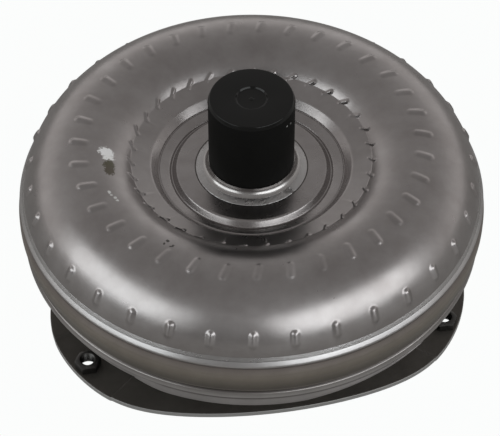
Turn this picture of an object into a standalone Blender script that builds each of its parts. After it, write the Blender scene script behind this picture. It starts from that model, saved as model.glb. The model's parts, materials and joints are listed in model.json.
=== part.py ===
"""Lock-up torque converter of a passenger-car automatic gearbox.

The converter stands on its crank pilot with the gearbox side up. The origin is
the centre of the pilot's flat end face and +Z runs along the axis of rotation
towards the impeller hub. Lengths below are millimetres and become metres in
the helpers. Neighbouring pieces keep a gap of 0.3 mm, also where they are
welded, pressed or riveted together.
"""

import math

import bmesh
import bpy

MM = 0.001
GAP = 0.3
ASSEMBLY = "torque_converter"

# Levels on the axis.
PLATE_BOTTOM = 8.0
PLATE_THICKNESS = 2.7
COVER_BOTTOM = PLATE_BOTTOM + PLATE_THICKNESS + GAP
LIP_LEVEL = 45.7
MID_PLANE = 80.7
WELD_LEVEL = 89.7
DISH_LEVEL = 100.7
PLATEAU_RISE = 0.7
HUB_SHOULDER = 107.9
HUB_TOP = 153.7
CAP_TOP = 157.7

# Fluid circuit: the round section that the three wheels share.
CIRCUIT_RADIUS = 98.0
OUTER_SECTION = 40.0
INNER_SECTION = 34.0
SECTION_SHIFT = OUTER_SECTION - INNER_SECTION
CREASE_ANGLE = 140.0
SHEET = 4.0
CORE_SECTION = 13.0
CORE_SHEET = 1.2

# Front cover and its flange plate.
BODY_RADIUS = 141.0
FLOOR_RADIUS = 104.0
FLOOR_SHEET = 4.0
STRIP_RADIUS = 138.2
STRIP_HEIGHT = 6.0
STRIP_SHEET = 1.8
STRIP_HALF_ANGLE = 39.0
LOBE_COUNT = 3
LOBE_PHASE = 98.9
LOBE_RADIUS = 135.8
SIDE_DISTANCE = 115.5
SIDE_ARC_RADIUS = 300.0
NUT_CIRCLE_RADIUS = 127.0
PAD_HALF_ANGLE = 12.4
PAD_RADIUS = 106.0
PAD_DROP = 0.8
NUT_ACROSS_FLATS = 14.0
NUT_HEIGHT = 5.4
NUT_BORE_RADIUS = 4.1
NUT_COLLAR_RADIUS = 6.0
NUT_CHAMFER = 30.0
PLATE_HOLE_RADIUS = 5.8
PILOT_RADIUS = 18.0
PILOT_FLANGE_RADIUS = 27.0

# Impeller hub and its transport cap.
HUB_RADIUS = 23.2
HUB_BORE_RADIUS = 19.5
HUB_FOOT_RADIUS = 29.3
HUB_SHOULDER_RADIUS = 25.8
HUB_SLOT_WIDTH = 9.0
HUB_SLOT_DEPTH = 9.0
WELD_TOE_RADIUS = 33.2
CAP_RADIUS = 25.5
CAP_BEVEL_WIDTH = 1.1
CAP_BEVEL_HEIGHT = 2.2
CAP_RECESS_RADIUS = 9.5
CAP_RECESS_DEPTH = 1.3
HUB_FLARE_RADIUS = 4.8

# Wheels.
IMPELLER_BLADES = 35
TURBINE_BLADES = 31
STATOR_BLADES = 15
BLADE_SHEET = 1.2
BLADE_PHASE = 4.65
IMPELLER_BLADE_SWING = 4.5
TURBINE_BLADE_SWING = 7.0
IMPELLER_BLADE_WALL = SHEET + 1.1
TURBINE_STEP = 4.8
TURBINE_SHEET = 2.0
TURBINE_BLADE_WALL = TURBINE_STEP + 3.6

# Free-wheel and thrust bearings.
BEARING_INNER = 25.0
BEARING_OUTER = 38.0
BEARING_RACE = 0.8
BEARING_CAGE = 1.7
NEEDLE_POCKETS = 8
IMPELLER_BEARING_TOP = 93.4
TURBINE_BEARING_TOP = 66.2
FREEWHEEL_BOTTOM = 66.5
FREEWHEEL_TOP = 89.2
ROLLER_COUNT = 8
ROLLER_RADIUS = 3.4
ROLLER_CIRCLE = 30.8
INNER_RACE_RADIUS = 27.1
OUTER_RACE_BORE = 34.5
OUTER_RACE_RADIUS = 41.0
STATOR_HUB_RADIUS = 62.0
STATOR_RING_RADIUS = 84.2

# Turbine hub, lock-up piston and torsional damper.
TURBINE_HUB_TOP = 62.0
TURBINE_HUB_BOTTOM = 19.0
TURBINE_HUB_RADIUS = 24.0
TURBINE_FLANGE_LEVEL = 54.4
PISTON_RADIUS = 102.0
SPRING_COUNT = 4
SPRING_CIRCLE = 74.0
SPRING_LEVEL = 37.2
SPRING_RADIUS = 6.5
SPRING_WIRE = 1.5
SPRING_LENGTH = 46.0
SPRING_TURNS = 3.5
WINDOW_CLEARANCE = 4.6
DRIVE_PLATE_LEVEL = 32.0
FLANGE_LEVEL = 36.2
RETAINER_LEVEL = 40.5
DAMPER_SHEET = 2.0
RIVET_CIRCLE = 93.0
RIVET_HOLE_RADIUS = 2.6
RIVET_SHANK_RADIUS = 2.2
RIVET_HEAD_RADIUS = 3.4
RIVET_HEAD_REACH = 1.7
TURBINE_RIVET_CIRCLE = 44.0
TURBINE_RIVET_HOLE_RADIUS = 3.0
TURBINE_RIVET_SHANK_RADIUS = 2.6
TURBINE_RIVET_HEAD_RADIUS = 4.2

# Facets round a full turn.
OUTSIDE_STEPS = 40
INSIDE_STEPS = 24
SMALL_STEPS = 16
OUTLINE_STEPS = 72


# ---------------------------------------------------------------- scene setup

def clear_scene():
    for obj in list(bpy.data.objects):
        bpy.data.objects.remove(obj, do_unlink=True)


def new_collection(name):
    collection = bpy.data.collections.new(name)
    bpy.context.scene.collection.children.link(collection)
    return collection


def new_material(name, colour, roughness, metallic):
    material = bpy.data.materials.new(name)
    material.use_nodes = True
    shader = material.node_tree.nodes["Principled BSDF"]
    shader.inputs["Base Color"].default_value = (*colour, 1.0)
    shader.inputs["Roughness"].default_value = roughness
    shader.inputs["Metallic"].default_value = metallic
    return material


clear_scene()
PARTS = new_collection(ASSEMBLY)
CUTTERS = new_collection(ASSEMBLY + "_cutters")

SHELL_STEEL = new_material("shell_steel", (0.40, 0.38, 0.37), 0.38, 1.0)
COVER_STEEL = new_material("cover_steel", (0.33, 0.30, 0.26), 0.42, 1.0)
WELD_STEEL = new_material("weld_steel", (0.55, 0.53, 0.51), 0.35, 1.0)
HUB_STEEL = new_material("hub_steel", (0.62, 0.61, 0.60), 0.25, 1.0)
PLATE_STEEL = new_material("plate_steel", (0.13, 0.12, 0.11), 0.55, 1.0)
NUT_STEEL = new_material("nut_steel", (0.16, 0.15, 0.14), 0.50, 1.0)
CAP_PLASTIC = new_material("cap_plastic", (0.012, 0.012, 0.012), 0.42, 0.0)
SHEET_STEEL = new_material("sheet_steel", (0.45, 0.44, 0.43), 0.35, 1.0)
CAST_ALUMINIUM = new_material("cast_aluminium", (0.70, 0.70, 0.71), 0.45, 1.0)
BEARING_STEEL = new_material("bearing_steel", (0.66, 0.66, 0.67), 0.20, 1.0)
SPRING_STEEL = new_material("spring_steel", (0.22, 0.23, 0.26), 0.35, 1.0)
LINING_PAPER = new_material("lining_paper", (0.16, 0.10, 0.06), 0.85, 0.0)
SEAL_RUBBER = new_material("seal_rubber", (0.02, 0.02, 0.02), 0.60, 0.0)


# ------------------------------------------------------------ general helpers

def smooth(mesh, degrees=32.0):
    mesh.shade_smooth()
    mesh.set_sharp_from_angle(angle=math.radians(degrees))


def add_part(obj, name, material, parent=None):
    obj.name = name
    obj.data.name = name
    obj.data.materials.clear()
    obj.data.materials.append(material)
    for collection in list(obj.users_collection):
        collection.objects.unlink(obj)
    PARTS.objects.link(obj)
    obj.parent = parent
    return obj


def add_cutter(obj, name):
    obj.name = name
    for collection in list(obj.users_collection):
        collection.objects.unlink(obj)
    CUTTERS.objects.link(obj)
    obj.hide_render = True
    obj.display_type = "WIRE"
    return obj


def mesh_object(name, bm):
    mesh = bpy.data.meshes.new(name)
    bm.to_mesh(mesh)
    bm.free()
    obj = bpy.data.objects.new(name, mesh)
    PARTS.objects.link(obj)
    return obj


def boolean(obj, tool, operation):
    modifier = obj.modifiers.new(operation.lower(), "BOOLEAN")
    modifier.operation = operation
    modifier.solver = "EXACT"
    modifier.object = tool


def arc(centre_r, centre_z, radius, start, end, segments):
    """Points on an arc of a section, from one angle in degrees to another."""
    points = []
    for i in range(segments + 1):
        angle = math.radians(start + (end - start) * i / segments)
        points.append((centre_r + radius * math.cos(angle), centre_z + radius * math.sin(angle)))
    return points


def turned(name, section, steps, closed=True):
    """Turn a section of (radius, level) points round the Z axis.

    The section runs down its outer side. A closed section is a ring; an open
    one starts and ends on the axis.
    """
    bm = bmesh.new()
    verts = [bm.verts.new((r * MM, 0.0, z * MM)) for r, z in section]
    for first, second in zip(verts, verts[1:]):
        bm.edges.new((first, second))
    if closed:
        bm.edges.new((verts[-1], verts[0]))
    obj = mesh_object(name, bm)
    screw = obj.modifiers.new("turn", "SCREW")
    screw.axis = "Z"
    screw.angle = math.radians(360.0)
    screw.steps = steps
    screw.render_steps = steps
    screw.use_merge_vertices = True
    screw.merge_threshold = 0.00001
    screw.use_smooth_shade = True
    return obj


def ring(name, inner, outer, bottom, top, steps):
    section = [(outer, top), (outer, bottom), (inner, bottom), (inner, top)]
    return turned(name, section, steps)


def cylinder(name, radius, bottom, top, steps, x=0.0, y=0.0):
    bm = bmesh.new()
    bmesh.ops.create_cone(bm, cap_ends=True, segments=steps, radius1=radius * MM,
                          radius2=radius * MM, depth=(top - bottom) * MM)
    obj = mesh_object(name, bm)
    obj.location = (x * MM, y * MM, (bottom + top) / 2.0 * MM)
    return obj


def box(name, size, location, turn=0.0):
    bm = bmesh.new()
    bmesh.ops.create_cube(bm, size=1.0)
    bmesh.ops.scale(bm, vec=[side * MM for side in size], verts=bm.verts)
    obj = mesh_object(name, bm)
    obj.location = [value * MM for value in location]
    obj.rotation_euler.z = math.radians(turn)
    return obj


def polar(radius, degrees):
    angle = math.radians(degrees)
    return radius * math.cos(angle), radius * math.sin(angle)


def joined_cutter(name, objects):
    """Join cutters that don't touch each other into one cutter."""
    bm = bmesh.new()
    for obj in objects:
        start = len(bm.verts)
        bm.from_mesh(obj.data)
        bm.verts.ensure_lookup_table()
        bmesh.ops.transform(bm, matrix=obj.matrix_basis, verts=bm.verts[start:])
        bpy.data.objects.remove(obj, do_unlink=True)
    return add_cutter(mesh_object(name, bm), name)


def axis_empty(name, parent=None):
    """An empty on the axis of rotation, which carries one moving body."""
    empty = bpy.data.objects.new(name, None)
    empty.empty_display_size = 0.03
    PARTS.objects.link(empty)
    empty.parent = parent
    return empty


# ------------------------------------------------------- impeller and its hub

def shell_line(offset, segments):
    """Line of the impeller shell from its weld edge in to its crease."""
    radius = OUTER_SECTION - offset
    edge = math.degrees(math.asin((WELD_LEVEL + GAP - MID_PLANE) / radius))
    outer = arc(CIRCUIT_RADIUS, MID_PLANE, radius, edge, 90.0, segments)
    inner = arc(CIRCUIT_RADIUS, MID_PLANE + SECTION_SHIFT, INNER_SECTION - offset,
                90.0, CREASE_ANGLE, segments // 2)
    return outer + inner[1:]


def make_impeller_shell():
    bore = HUB_FOOT_RADIUS + GAP
    dish_outside = [(60.3, DISH_LEVEL + 4.9), (55.5, DISH_LEVEL), (48.0, DISH_LEVEL - 3.2),
                    (44.9, DISH_LEVEL + PLATEAU_RISE), (bore, DISH_LEVEL + PLATEAU_RISE)]
    dish_inside = [(bore, DISH_LEVEL - 7.0), (48.0, DISH_LEVEL - 7.0), (58.5, DISH_LEVEL - 3.4)]
    outside = shell_line(0.0, 7) + dish_outside
    inside = shell_line(SHEET, 5)
    section = dish_inside + inside[::-1] + outside
    add_part(turned("impeller_shell", section[::-1], OUTSIDE_STEPS), "impeller_shell", SHELL_STEEL)


def make_impeller_hub():
    foot = DISH_LEVEL - 7.0
    flare = arc(HUB_SHOULDER_RADIUS + HUB_FLARE_RADIUS, DISH_LEVEL + 7.0, HUB_FLARE_RADIUS, 180.0, 253.0, 4)
    section = [(HUB_RADIUS - 1.0, HUB_TOP), (HUB_RADIUS, HUB_TOP - 1.0), (HUB_RADIUS, HUB_SHOULDER),
               (HUB_SHOULDER_RADIUS, HUB_SHOULDER)]
    section += flare
    section += [(HUB_FOOT_RADIUS, foot), (HUB_BORE_RADIUS, foot), (HUB_BORE_RADIUS, HUB_TOP)]
    hub = add_part(turned("impeller_hub", section, INSIDE_STEPS), "impeller_hub", HUB_STEEL)
    slot = box("hub_slot", (3.0 * HUB_RADIUS, HUB_SLOT_WIDTH, 2.0 * HUB_SLOT_DEPTH), (0.0, 0.0, HUB_TOP))
    boolean(hub, add_cutter(slot, "hub_slot"), "DIFFERENCE")


def make_hub_weld():
    seat = DISH_LEVEL + PLATEAU_RISE + GAP
    section = [(HUB_FOOT_RADIUS + GAP, seat + 1.3), (31.4, seat + 0.9), (WELD_TOE_RADIUS, seat + 0.3),
               (WELD_TOE_RADIUS, seat), (HUB_FOOT_RADIUS + GAP, seat)]
    add_part(turned("hub_weld", section, INSIDE_STEPS), "hub_weld", WELD_STEEL)


def make_hub_cap(parent):
    wall_inside = HUB_RADIUS + GAP
    ceiling = HUB_TOP + GAP
    foot = HUB_SHOULDER + GAP
    section = [(0.0, CAP_TOP - CAP_RECESS_DEPTH), (CAP_RECESS_RADIUS - 0.7, CAP_TOP - CAP_RECESS_DEPTH),
               (CAP_RECESS_RADIUS, CAP_TOP), (CAP_RADIUS - CAP_BEVEL_WIDTH, CAP_TOP),
               (CAP_RADIUS, CAP_TOP - CAP_BEVEL_HEIGHT), (CAP_RADIUS, foot), (wall_inside, foot),
               (wall_inside, ceiling), (0.0, ceiling)]
    add_part(turned("hub_cap", section, INSIDE_STEPS, closed=False), "hub_cap", CAP_PLASTIC, parent)


def blade_turn(t, swing):
    """Turn of a wheel's blade about the axis at an angle of the section."""
    reach = max(0.0, (t - 20.0) / (CREASE_ANGLE - 20.0))
    return swing * reach ** 2.2


def wheel_blade(bm, side, swing, azimuth, wall, rows=3):
    """One curved blade between the core ring and the wheel's shell.

    side is +1 for the impeller, above the middle plane, and -1 for the
    turbine, below it.
    """
    grid = []
    for row in range(rows + 1):
        part = row / rows
        line = []
        for radius, inner_end, outer_end in ((CORE_SECTION - CORE_SHEET / 2.0, 144.0, 8.0),
                                             (OUTER_SECTION - wall, 148.0, 3.0)):
            t = inner_end + (outer_end - inner_end) * part
            turn = math.radians(azimuth + side * blade_turn(t, swing))
            lift = SECTION_SHIFT if t > 90.0 and radius > CORE_SECTION else 0.0
            slant = math.radians(t)
            r = CIRCUIT_RADIUS + (radius - lift) * math.cos(slant)
            z = MID_PLANE + side * (lift + (radius - lift) * math.sin(slant))
            line.append(bm.verts.new((r * math.cos(turn) * MM, r * math.sin(turn) * MM, z * MM)))
        grid.append(line)
    for first, second in zip(grid, grid[1:]):
        corners = (first[0], first[1], second[1], second[0])
        bm.faces.new(corners if side > 0 else corners[::-1])


def make_bladed_wheel(name, side, count, swing, wall, phase, parent=None):
    """A pressed core ring with the wheel's blades fixed to it."""
    bm = bmesh.new()
    for index in range(count):
        wheel_blade(bm, side, swing, phase + 360.0 * index / count, wall)
    blades = mesh_object(name + "_sheet", bm)
    thicken = blades.modifiers.new("sheet", "SOLIDIFY")
    thicken.thickness = BLADE_SHEET * MM
    thicken.offset = 0.0
    thicken.use_even_offset = True
    add_cutter(blades, name + "_sheet")
    start = 4.5 * side
    end = 147.5 * side
    outside = arc(CIRCUIT_RADIUS, MID_PLANE, CORE_SECTION, start, end, 3)
    inside = arc(CIRCUIT_RADIUS, MID_PLANE, CORE_SECTION - CORE_SHEET, start, end, 3)
    section = outside + inside[::-1]
    if side > 0:
        section = section[::-1]
    wheel = add_part(turned(name, section, count), name, SHEET_STEEL, parent)
    boolean(wheel, blades, "UNION")
    tidy = wheel.modifiers.new("flat_faces", "DECIMATE")
    tidy.decimate_type = "DISSOLVE"
    tidy.angle_limit = math.radians(3.0)


# ------------------------------------------- cover, flange plate and fasteners

def make_front_cover():
    edge = WELD_LEVEL - 2.3
    floor = COVER_BOTTOM
    wall = LIP_LEVEL + STRIP_HEIGHT + 2.0 * GAP
    behind = STRIP_RADIUS - STRIP_SHEET - 2.0 * GAP
    outside = [(138.9, edge), (139.5, edge - 5.0), (BODY_RADIUS, edge - 13.0),
               (BODY_RADIUS, edge - 19.0), (139.4, 61.2), (138.2, 60.6), (138.9, 59.6),
               (138.3, wall), (behind, wall - 0.4), (behind, LIP_LEVEL + 0.6),
               (FLOOR_RADIUS + 2.5, floor + 1.0), (FLOOR_RADIUS - 2.0, floor)]
    inside = [(0.0, floor + FLOOR_SHEET), (FLOOR_RADIUS - 2.0, floor + FLOOR_SHEET),
              (130.8, LIP_LEVEL + 2.0), (135.0, LIP_LEVEL + 12.0), (135.0, edge)]
    section = outside + [(0.0, floor)]
    cover = turned("front_cover", inside + section, OUTSIDE_STEPS, closed=False)
    add_part(cover, "front_cover", COVER_STEEL)


def make_girth_weld():
    low = WELD_LEVEL - 2.0
    section = [(137.6, WELD_LEVEL), (138.9, WELD_LEVEL - 0.4), (139.4, WELD_LEVEL - 1.0),
               (139.1, low), (135.0, low), (135.0, WELD_LEVEL)]
    add_part(turned("girth_weld", section, OUTSIDE_STEPS), "girth_weld", WELD_STEEL)


def make_rim_strip(index):
    """A strip round the foot of the cover, between two lobes of the plate."""
    middle = LOBE_PHASE + 180.0 / LOBE_COUNT + 360.0 / LOBE_COUNT * index
    outer = STRIP_RADIUS
    inner = outer - STRIP_SHEET
    low = LIP_LEVEL
    high = LIP_LEVEL + STRIP_HEIGHT
    section = [(outer, high), (outer, low), (inner, low), (inner, high)]
    bm = bmesh.new()
    start = math.radians(middle - STRIP_HALF_ANGLE)
    corners = [bm.verts.new((r * math.cos(start) * MM, r * math.sin(start) * MM, z * MM)) for r, z in section]
    profile = bm.faces.new(corners[::-1])
    bmesh.ops.spin(bm, geom=[profile] + profile.edges[:] + profile.verts[:], axis=(0.0, 0.0, 1.0),
                   cent=(0.0, 0.0, 0.0), angle=math.radians(2.0 * STRIP_HALF_ANGLE), steps=10,
                   use_duplicate=False)
    bmesh.ops.recalc_face_normals(bm, faces=bm.faces)
    name = "rim_strip_%d" % (index + 1)
    add_part(mesh_object(name, bm), name, COVER_STEEL)


def plate_radius(degrees):
    """Outline of the flange plate: lobes on a circle, joined by shallow arcs."""
    pitch = 360.0 / LOBE_COUNT
    from_lobe = (degrees - LOBE_PHASE + pitch / 2.0) % pitch - pitch / 2.0
    from_side = math.radians(pitch / 2.0 - abs(from_lobe))
    centre = SIDE_ARC_RADIUS - SIDE_DISTANCE
    half_chord = math.sqrt(SIDE_ARC_RADIUS ** 2 - (centre * math.sin(from_side)) ** 2)
    side = half_chord - centre * math.cos(from_side)
    power = 24.0
    return (side ** -power + LOBE_RADIUS ** -power) ** (-1.0 / power)


def loop_spline(curve, points):
    spline = curve.splines.new("POLY")
    spline.points.add(len(points) - 1)
    for point, (x, y) in zip(spline.points, points):
        point.co = (x * MM, y * MM, 0.0, 1.0)
    spline.use_cyclic_u = True


def circle_points(radius, count, x=0.0, y=0.0):
    points = []
    for index in range(count):
        dx, dy = polar(radius, 360.0 * index / count)
        points.append((x + dx, y + dy))
    return points


def flat_plate(name, outline, holes, bottom, thickness):
    """A sheet with holes: a filled flat curve, made a mesh with welded caps."""
    curve = bpy.data.curves.new(name, "CURVE")
    curve.dimensions = "2D"
    curve.fill_mode = "BOTH"
    curve.extrude = thickness / 2.0 * MM
    loop_spline(curve, outline)
    for hole in holes:
        loop_spline(curve, hole)
    source = bpy.data.objects.new(name, curve)
    source.location = (0.0, 0.0, (bottom + thickness / 2.0) * MM)
    PARTS.objects.link(source)
    bpy.context.view_layer.update()
    graph = bpy.context.evaluated_depsgraph_get()
    mesh = bpy.data.meshes.new_from_object(source.evaluated_get(graph))
    bm = bmesh.new()
    bm.from_mesh(mesh)
    bmesh.ops.remove_doubles(bm, verts=bm.verts, dist=0.000001)
    bmesh.ops.recalc_face_normals(bm, faces=bm.faces)
    bm.to_mesh(mesh)
    bm.free()
    sheet = bpy.data.objects.new(name, mesh)
    sheet.matrix_world = source.matrix_world.copy()
    PARTS.objects.link(sheet)
    bpy.data.objects.remove(source, do_unlink=True)
    return sheet


def lobe_angles():
    return [LOBE_PHASE + 360.0 / LOBE_COUNT * index for index in range(LOBE_COUNT)]


def sector_outline(middle, half_angle, inner, reach):
    """A sector of the plate: along its outline, reach outside it, and back on a circle."""
    count = 6
    outside = []
    inside = []
    for k in range(count + 1):
        turn = middle + half_angle * (2.0 * k / count - 1.0)
        outside.append(polar(plate_radius(turn) + reach, turn))
        inside.append(polar(inner, turn))
    return outside + inside[::-1]


def make_flange_plate():
    """The plate, whose three lobes end in pads set a little towards the crank."""
    outline = []
    for k in range(OUTLINE_STEPS):
        turn = LOBE_PHASE + 360.0 / OUTLINE_STEPS * k
        outline.append(polar(plate_radius(turn), turn))
    holes = [circle_points(PILOT_FLANGE_RADIUS + GAP, SMALL_STEPS)]
    plate = flat_plate("flange_plate", outline, holes, PLATE_BOTTOM, PLATE_THICKNESS)
    add_part(plate, "flange_plate", PLATE_STEEL)
    for angle in lobe_angles():
        x, y = polar(NUT_CIRCLE_RADIUS, angle)
        opening = sector_outline(angle, PAD_HALF_ANGLE, PAD_RADIUS, 3.0)
        notch = flat_plate("pad_notch", opening, [], PLATE_BOTTOM - 2.0, PLATE_THICKNESS + 4.0)
        boolean(plate, add_cutter(notch, "pad_notch"), "DIFFERENCE")
        shape = sector_outline(angle, PAD_HALF_ANGLE + 0.5, PAD_RADIUS - 1.0, -0.02)
        hole = circle_points(PLATE_HOLE_RADIUS, 12, x, y)
        pad = flat_plate("lobe_pad", shape, [hole], PLATE_BOTTOM - PAD_DROP, PLATE_THICKNESS)
        boolean(plate, add_cutter(pad, "lobe_pad"), "UNION")


def make_weld_nut(index):
    bottom = PLATE_BOTTOM + PLATE_THICKNESS - PAD_DROP + GAP
    top = bottom + NUT_HEIGHT
    name = "weld_nut_%d" % (index + 1)
    angle = lobe_angles()[index]
    x, y = polar(NUT_CIRCLE_RADIUS, angle)
    corner = NUT_ACROSS_FLATS / math.sqrt(3.0)
    nut = cylinder(name, corner, bottom, top, 6, x, y)
    nut.rotation_euler.z = math.radians(angle)
    outside = corner + 1.0
    fall = (outside - NUT_COLLAR_RADIUS) * math.tan(math.radians(NUT_CHAMFER))
    section = [(0.0, top), (NUT_COLLAR_RADIUS, top), (outside, top - fall), (outside, bottom - 1.0),
               (0.0, bottom - 1.0)]
    cone = turned(name + "_chamfer", section, SMALL_STEPS, closed=False)
    cone.location = (x * MM, y * MM, 0.0)
    boolean(nut, add_cutter(cone, name + "_chamfer"), "INTERSECT")
    bore = cylinder(name + "_bore", NUT_BORE_RADIUS, bottom - 1.0, top + 1.0, 12, x, y)
    boolean(nut, add_cutter(bore, name + "_bore"), "DIFFERENCE")
    add_part(nut, name, NUT_STEEL)


def make_crank_pilot():
    top = PLATE_BOTTOM + PLATE_THICKNESS
    section = [(0.0, top), (PILOT_FLANGE_RADIUS, top), (PILOT_FLANGE_RADIUS, PLATE_BOTTOM + 0.2),
               (PILOT_RADIUS, PLATE_BOTTOM - 0.2), (PILOT_RADIUS, 1.5), (PILOT_RADIUS - 1.5, 0.0), (0.0, 0.0)]
    add_part(turned("crank_pilot", section, SMALL_STEPS, closed=False), "crank_pilot", HUB_STEEL)


# -------------------------------------------------------- stator and free-wheel

def spline_cutter(name, minor, major, teeth, bottom, top):
    """A toothed bar that cuts a splined bore."""
    bar = cylinder(name, major, bottom, top, 4 * teeth)
    for vertex in bar.data.vertices:
        turn = math.atan2(vertex.co.y, vertex.co.x) / (2.0 * math.pi) * 4 * teeth
        if round(turn - 0.25) % 4 >= 2:
            vertex.co.x *= minor / major
            vertex.co.y *= minor / major
    return add_cutter(bar, name)


def make_stator_wheel(parent):
    hub_bore = OUTER_RACE_RADIUS + GAP
    low = FREEWHEEL_BOTTOM + GAP
    high = FREEWHEEL_TOP - GAP
    hub_section = [(STATOR_HUB_RADIUS, MID_PLANE + 7.5), (STATOR_HUB_RADIUS, MID_PLANE - 7.5),
                   (47.0, MID_PLANE - 7.5), (47.0, low), (hub_bore, low), (hub_bore, high),
                   (47.0, high), (47.0, MID_PLANE + 7.5)]
    wheel = add_part(turned("stator_wheel", hub_section, 2 * STATOR_BLADES), "stator_wheel",
                     CAST_ALUMINIUM, parent)
    rim = ring("stator_rim", STATOR_RING_RADIUS - 2.0, STATOR_RING_RADIUS,
               MID_PLANE - 6.5, MID_PLANE + 6.5, 2 * STATOR_BLADES)
    blades = []
    for index in range(STATOR_BLADES):
        turn = 360.0 * index / STATOR_BLADES
        middle = (STATOR_HUB_RADIUS + STATOR_RING_RADIUS) / 2.0 - 1.0
        x, y = polar(middle, turn)
        blade = box("stator_blade", (STATOR_RING_RADIUS - STATOR_HUB_RADIUS, 1.8, 13.0), (x, y, MID_PLANE))
        blade.rotation_euler = (math.radians(38.0), 0.0, math.radians(turn))
        blades.append(blade)
    bpy.context.view_layer.update()
    boolean(wheel, joined_cutter("stator_blades", blades), "UNION")
    boolean(wheel, add_cutter(rim, "stator_rim"), "UNION")


def make_freewheel(parent, inner_parent):
    """Cam race, rollers and side ring, running on the splined inner race."""
    outer = add_part(ring("freewheel_outer_race", OUTER_RACE_BORE, OUTER_RACE_RADIUS, FREEWHEEL_BOTTOM,
                          FREEWHEEL_TOP, INSIDE_STEPS), "freewheel_outer_race", BEARING_STEEL, parent)
    cams = []
    for index in range(ROLLER_COUNT):
        x, y = polar(ROLLER_CIRCLE + 1.6, 360.0 * index / ROLLER_COUNT + 6.0)
        cams.append(cylinder("cam", ROLLER_RADIUS + 0.9, FREEWHEEL_BOTTOM - 1.0, FREEWHEEL_TOP + 1.0, 10,
                             x, y))
    bpy.context.view_layer.update()
    boolean(outer, joined_cutter("freewheel_cams", cams), "DIFFERENCE")

    low = FREEWHEEL_BOTTOM + 3.0
    high = FREEWHEEL_TOP - 3.0
    for index in range(ROLLER_COUNT):
        x, y = polar(ROLLER_CIRCLE, 360.0 * index / ROLLER_COUNT)
        name = "freewheel_roller_%d" % (index + 1)
        roller = cylinder(name, ROLLER_RADIUS - 0.1, low, high, 10, x, y)
        add_part(roller, name, BEARING_STEEL, parent)

    side = ring("freewheel_side_ring", INNER_RACE_RADIUS + 1.2, OUTER_RACE_BORE - GAP,
                FREEWHEEL_TOP - 2.4, FREEWHEEL_TOP - 0.6, SMALL_STEPS)
    add_part(side, "freewheel_side_ring", SHEET_STEEL, parent)

    inner = ring("stator_inner_race", 15.0, INNER_RACE_RADIUS, FREEWHEEL_BOTTOM, FREEWHEEL_TOP, INSIDE_STEPS)
    add_part(inner, "stator_inner_race", BEARING_STEEL, inner_parent)
    bore = spline_cutter("inner_race_spline", 16.4, 18.2, 14, FREEWHEEL_BOTTOM - 1.0, FREEWHEEL_TOP + 1.0)
    boolean(inner, bore, "DIFFERENCE")


def make_thrust_bearing(label, top, upper_parent, cage_parent, lower_parent):
    """Two hardened races with a flat needle cage between them."""
    level = top
    layers = (("upper_race", BEARING_RACE, upper_parent), ("needle_cage", BEARING_CAGE, cage_parent),
              ("lower_race", BEARING_RACE, lower_parent))
    for layer, height, parent in layers:
        name = "%s_%s" % (label, layer)
        inner = BEARING_INNER + (1.0 if layer == "needle_cage" else 0.0)
        outer = BEARING_OUTER - (1.0 if layer == "needle_cage" else 0.0)
        piece = add_part(ring(name, inner, outer, level - height, level, SMALL_STEPS), name,
                         BEARING_STEEL, parent)
        if layer == "needle_cage":
            pockets = []
            for index in range(NEEDLE_POCKETS):
                turn = 360.0 / NEEDLE_POCKETS * index
                x, y = polar((inner + outer) / 2.0, turn)
                pockets.append(box("pocket", (7.0, 1.8, 4.0 * height), (x, y, level - height / 2.0), turn))
            bpy.context.view_layer.update()
            boolean(piece, joined_cutter(name + "_pockets", pockets), "DIFFERENCE")
        level -= height + GAP


# --------------------------------------------------------------------- turbine

def make_turbine_shell(parent):
    wall = TURBINE_SHEET
    outer_line = OUTER_SECTION - TURBINE_STEP
    inner_line = INNER_SECTION - TURBINE_STEP
    start = -2.5
    outside = arc(CIRCUIT_RADIUS, MID_PLANE, outer_line, start, -90.0, 5)
    outside += arc(CIRCUIT_RADIUS, MID_PLANE - SECTION_SHIFT, inner_line, -90.0, -140.0, 2)[1:]
    inside = arc(CIRCUIT_RADIUS, MID_PLANE, outer_line - wall, start, -90.0, 5)
    inside += arc(CIRCUIT_RADIUS, MID_PLANE - SECTION_SHIFT, inner_line - wall, -90.0, -140.0, 2)[1:]
    flange = [(38.0, TURBINE_FLANGE_LEVEL + GAP), (38.0, TURBINE_FLANGE_LEVEL + GAP + wall)]
    section = outside + [(52.0, TURBINE_FLANGE_LEVEL + GAP)] + flange
    section += [(52.0, TURBINE_FLANGE_LEVEL + GAP + wall)] + inside[::-1]
    shell = add_part(turned("turbine_shell", section, INSIDE_STEPS), "turbine_shell", SHEET_STEEL, parent)
    holes = rivet_holes("turbine_rivet_holes", TURBINE_RIVET_CIRCLE, TURBINE_RIVET_HOLE_RADIUS,
                        TURBINE_FLANGE_LEVEL - 6.0, TURBINE_FLANGE_LEVEL + 6.0)
    boolean(shell, holes, "DIFFERENCE")


def rivet_holes(name, circle, radius, bottom, top):
    holes = []
    for index in range(SPRING_COUNT):
        x, y = polar(circle, 45.0 + 360.0 / SPRING_COUNT * index)
        holes.append(cylinder("rivet_hole", radius, bottom, top, 8, x, y))
    bpy.context.view_layer.update()
    return joined_cutter(name, holes)


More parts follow.
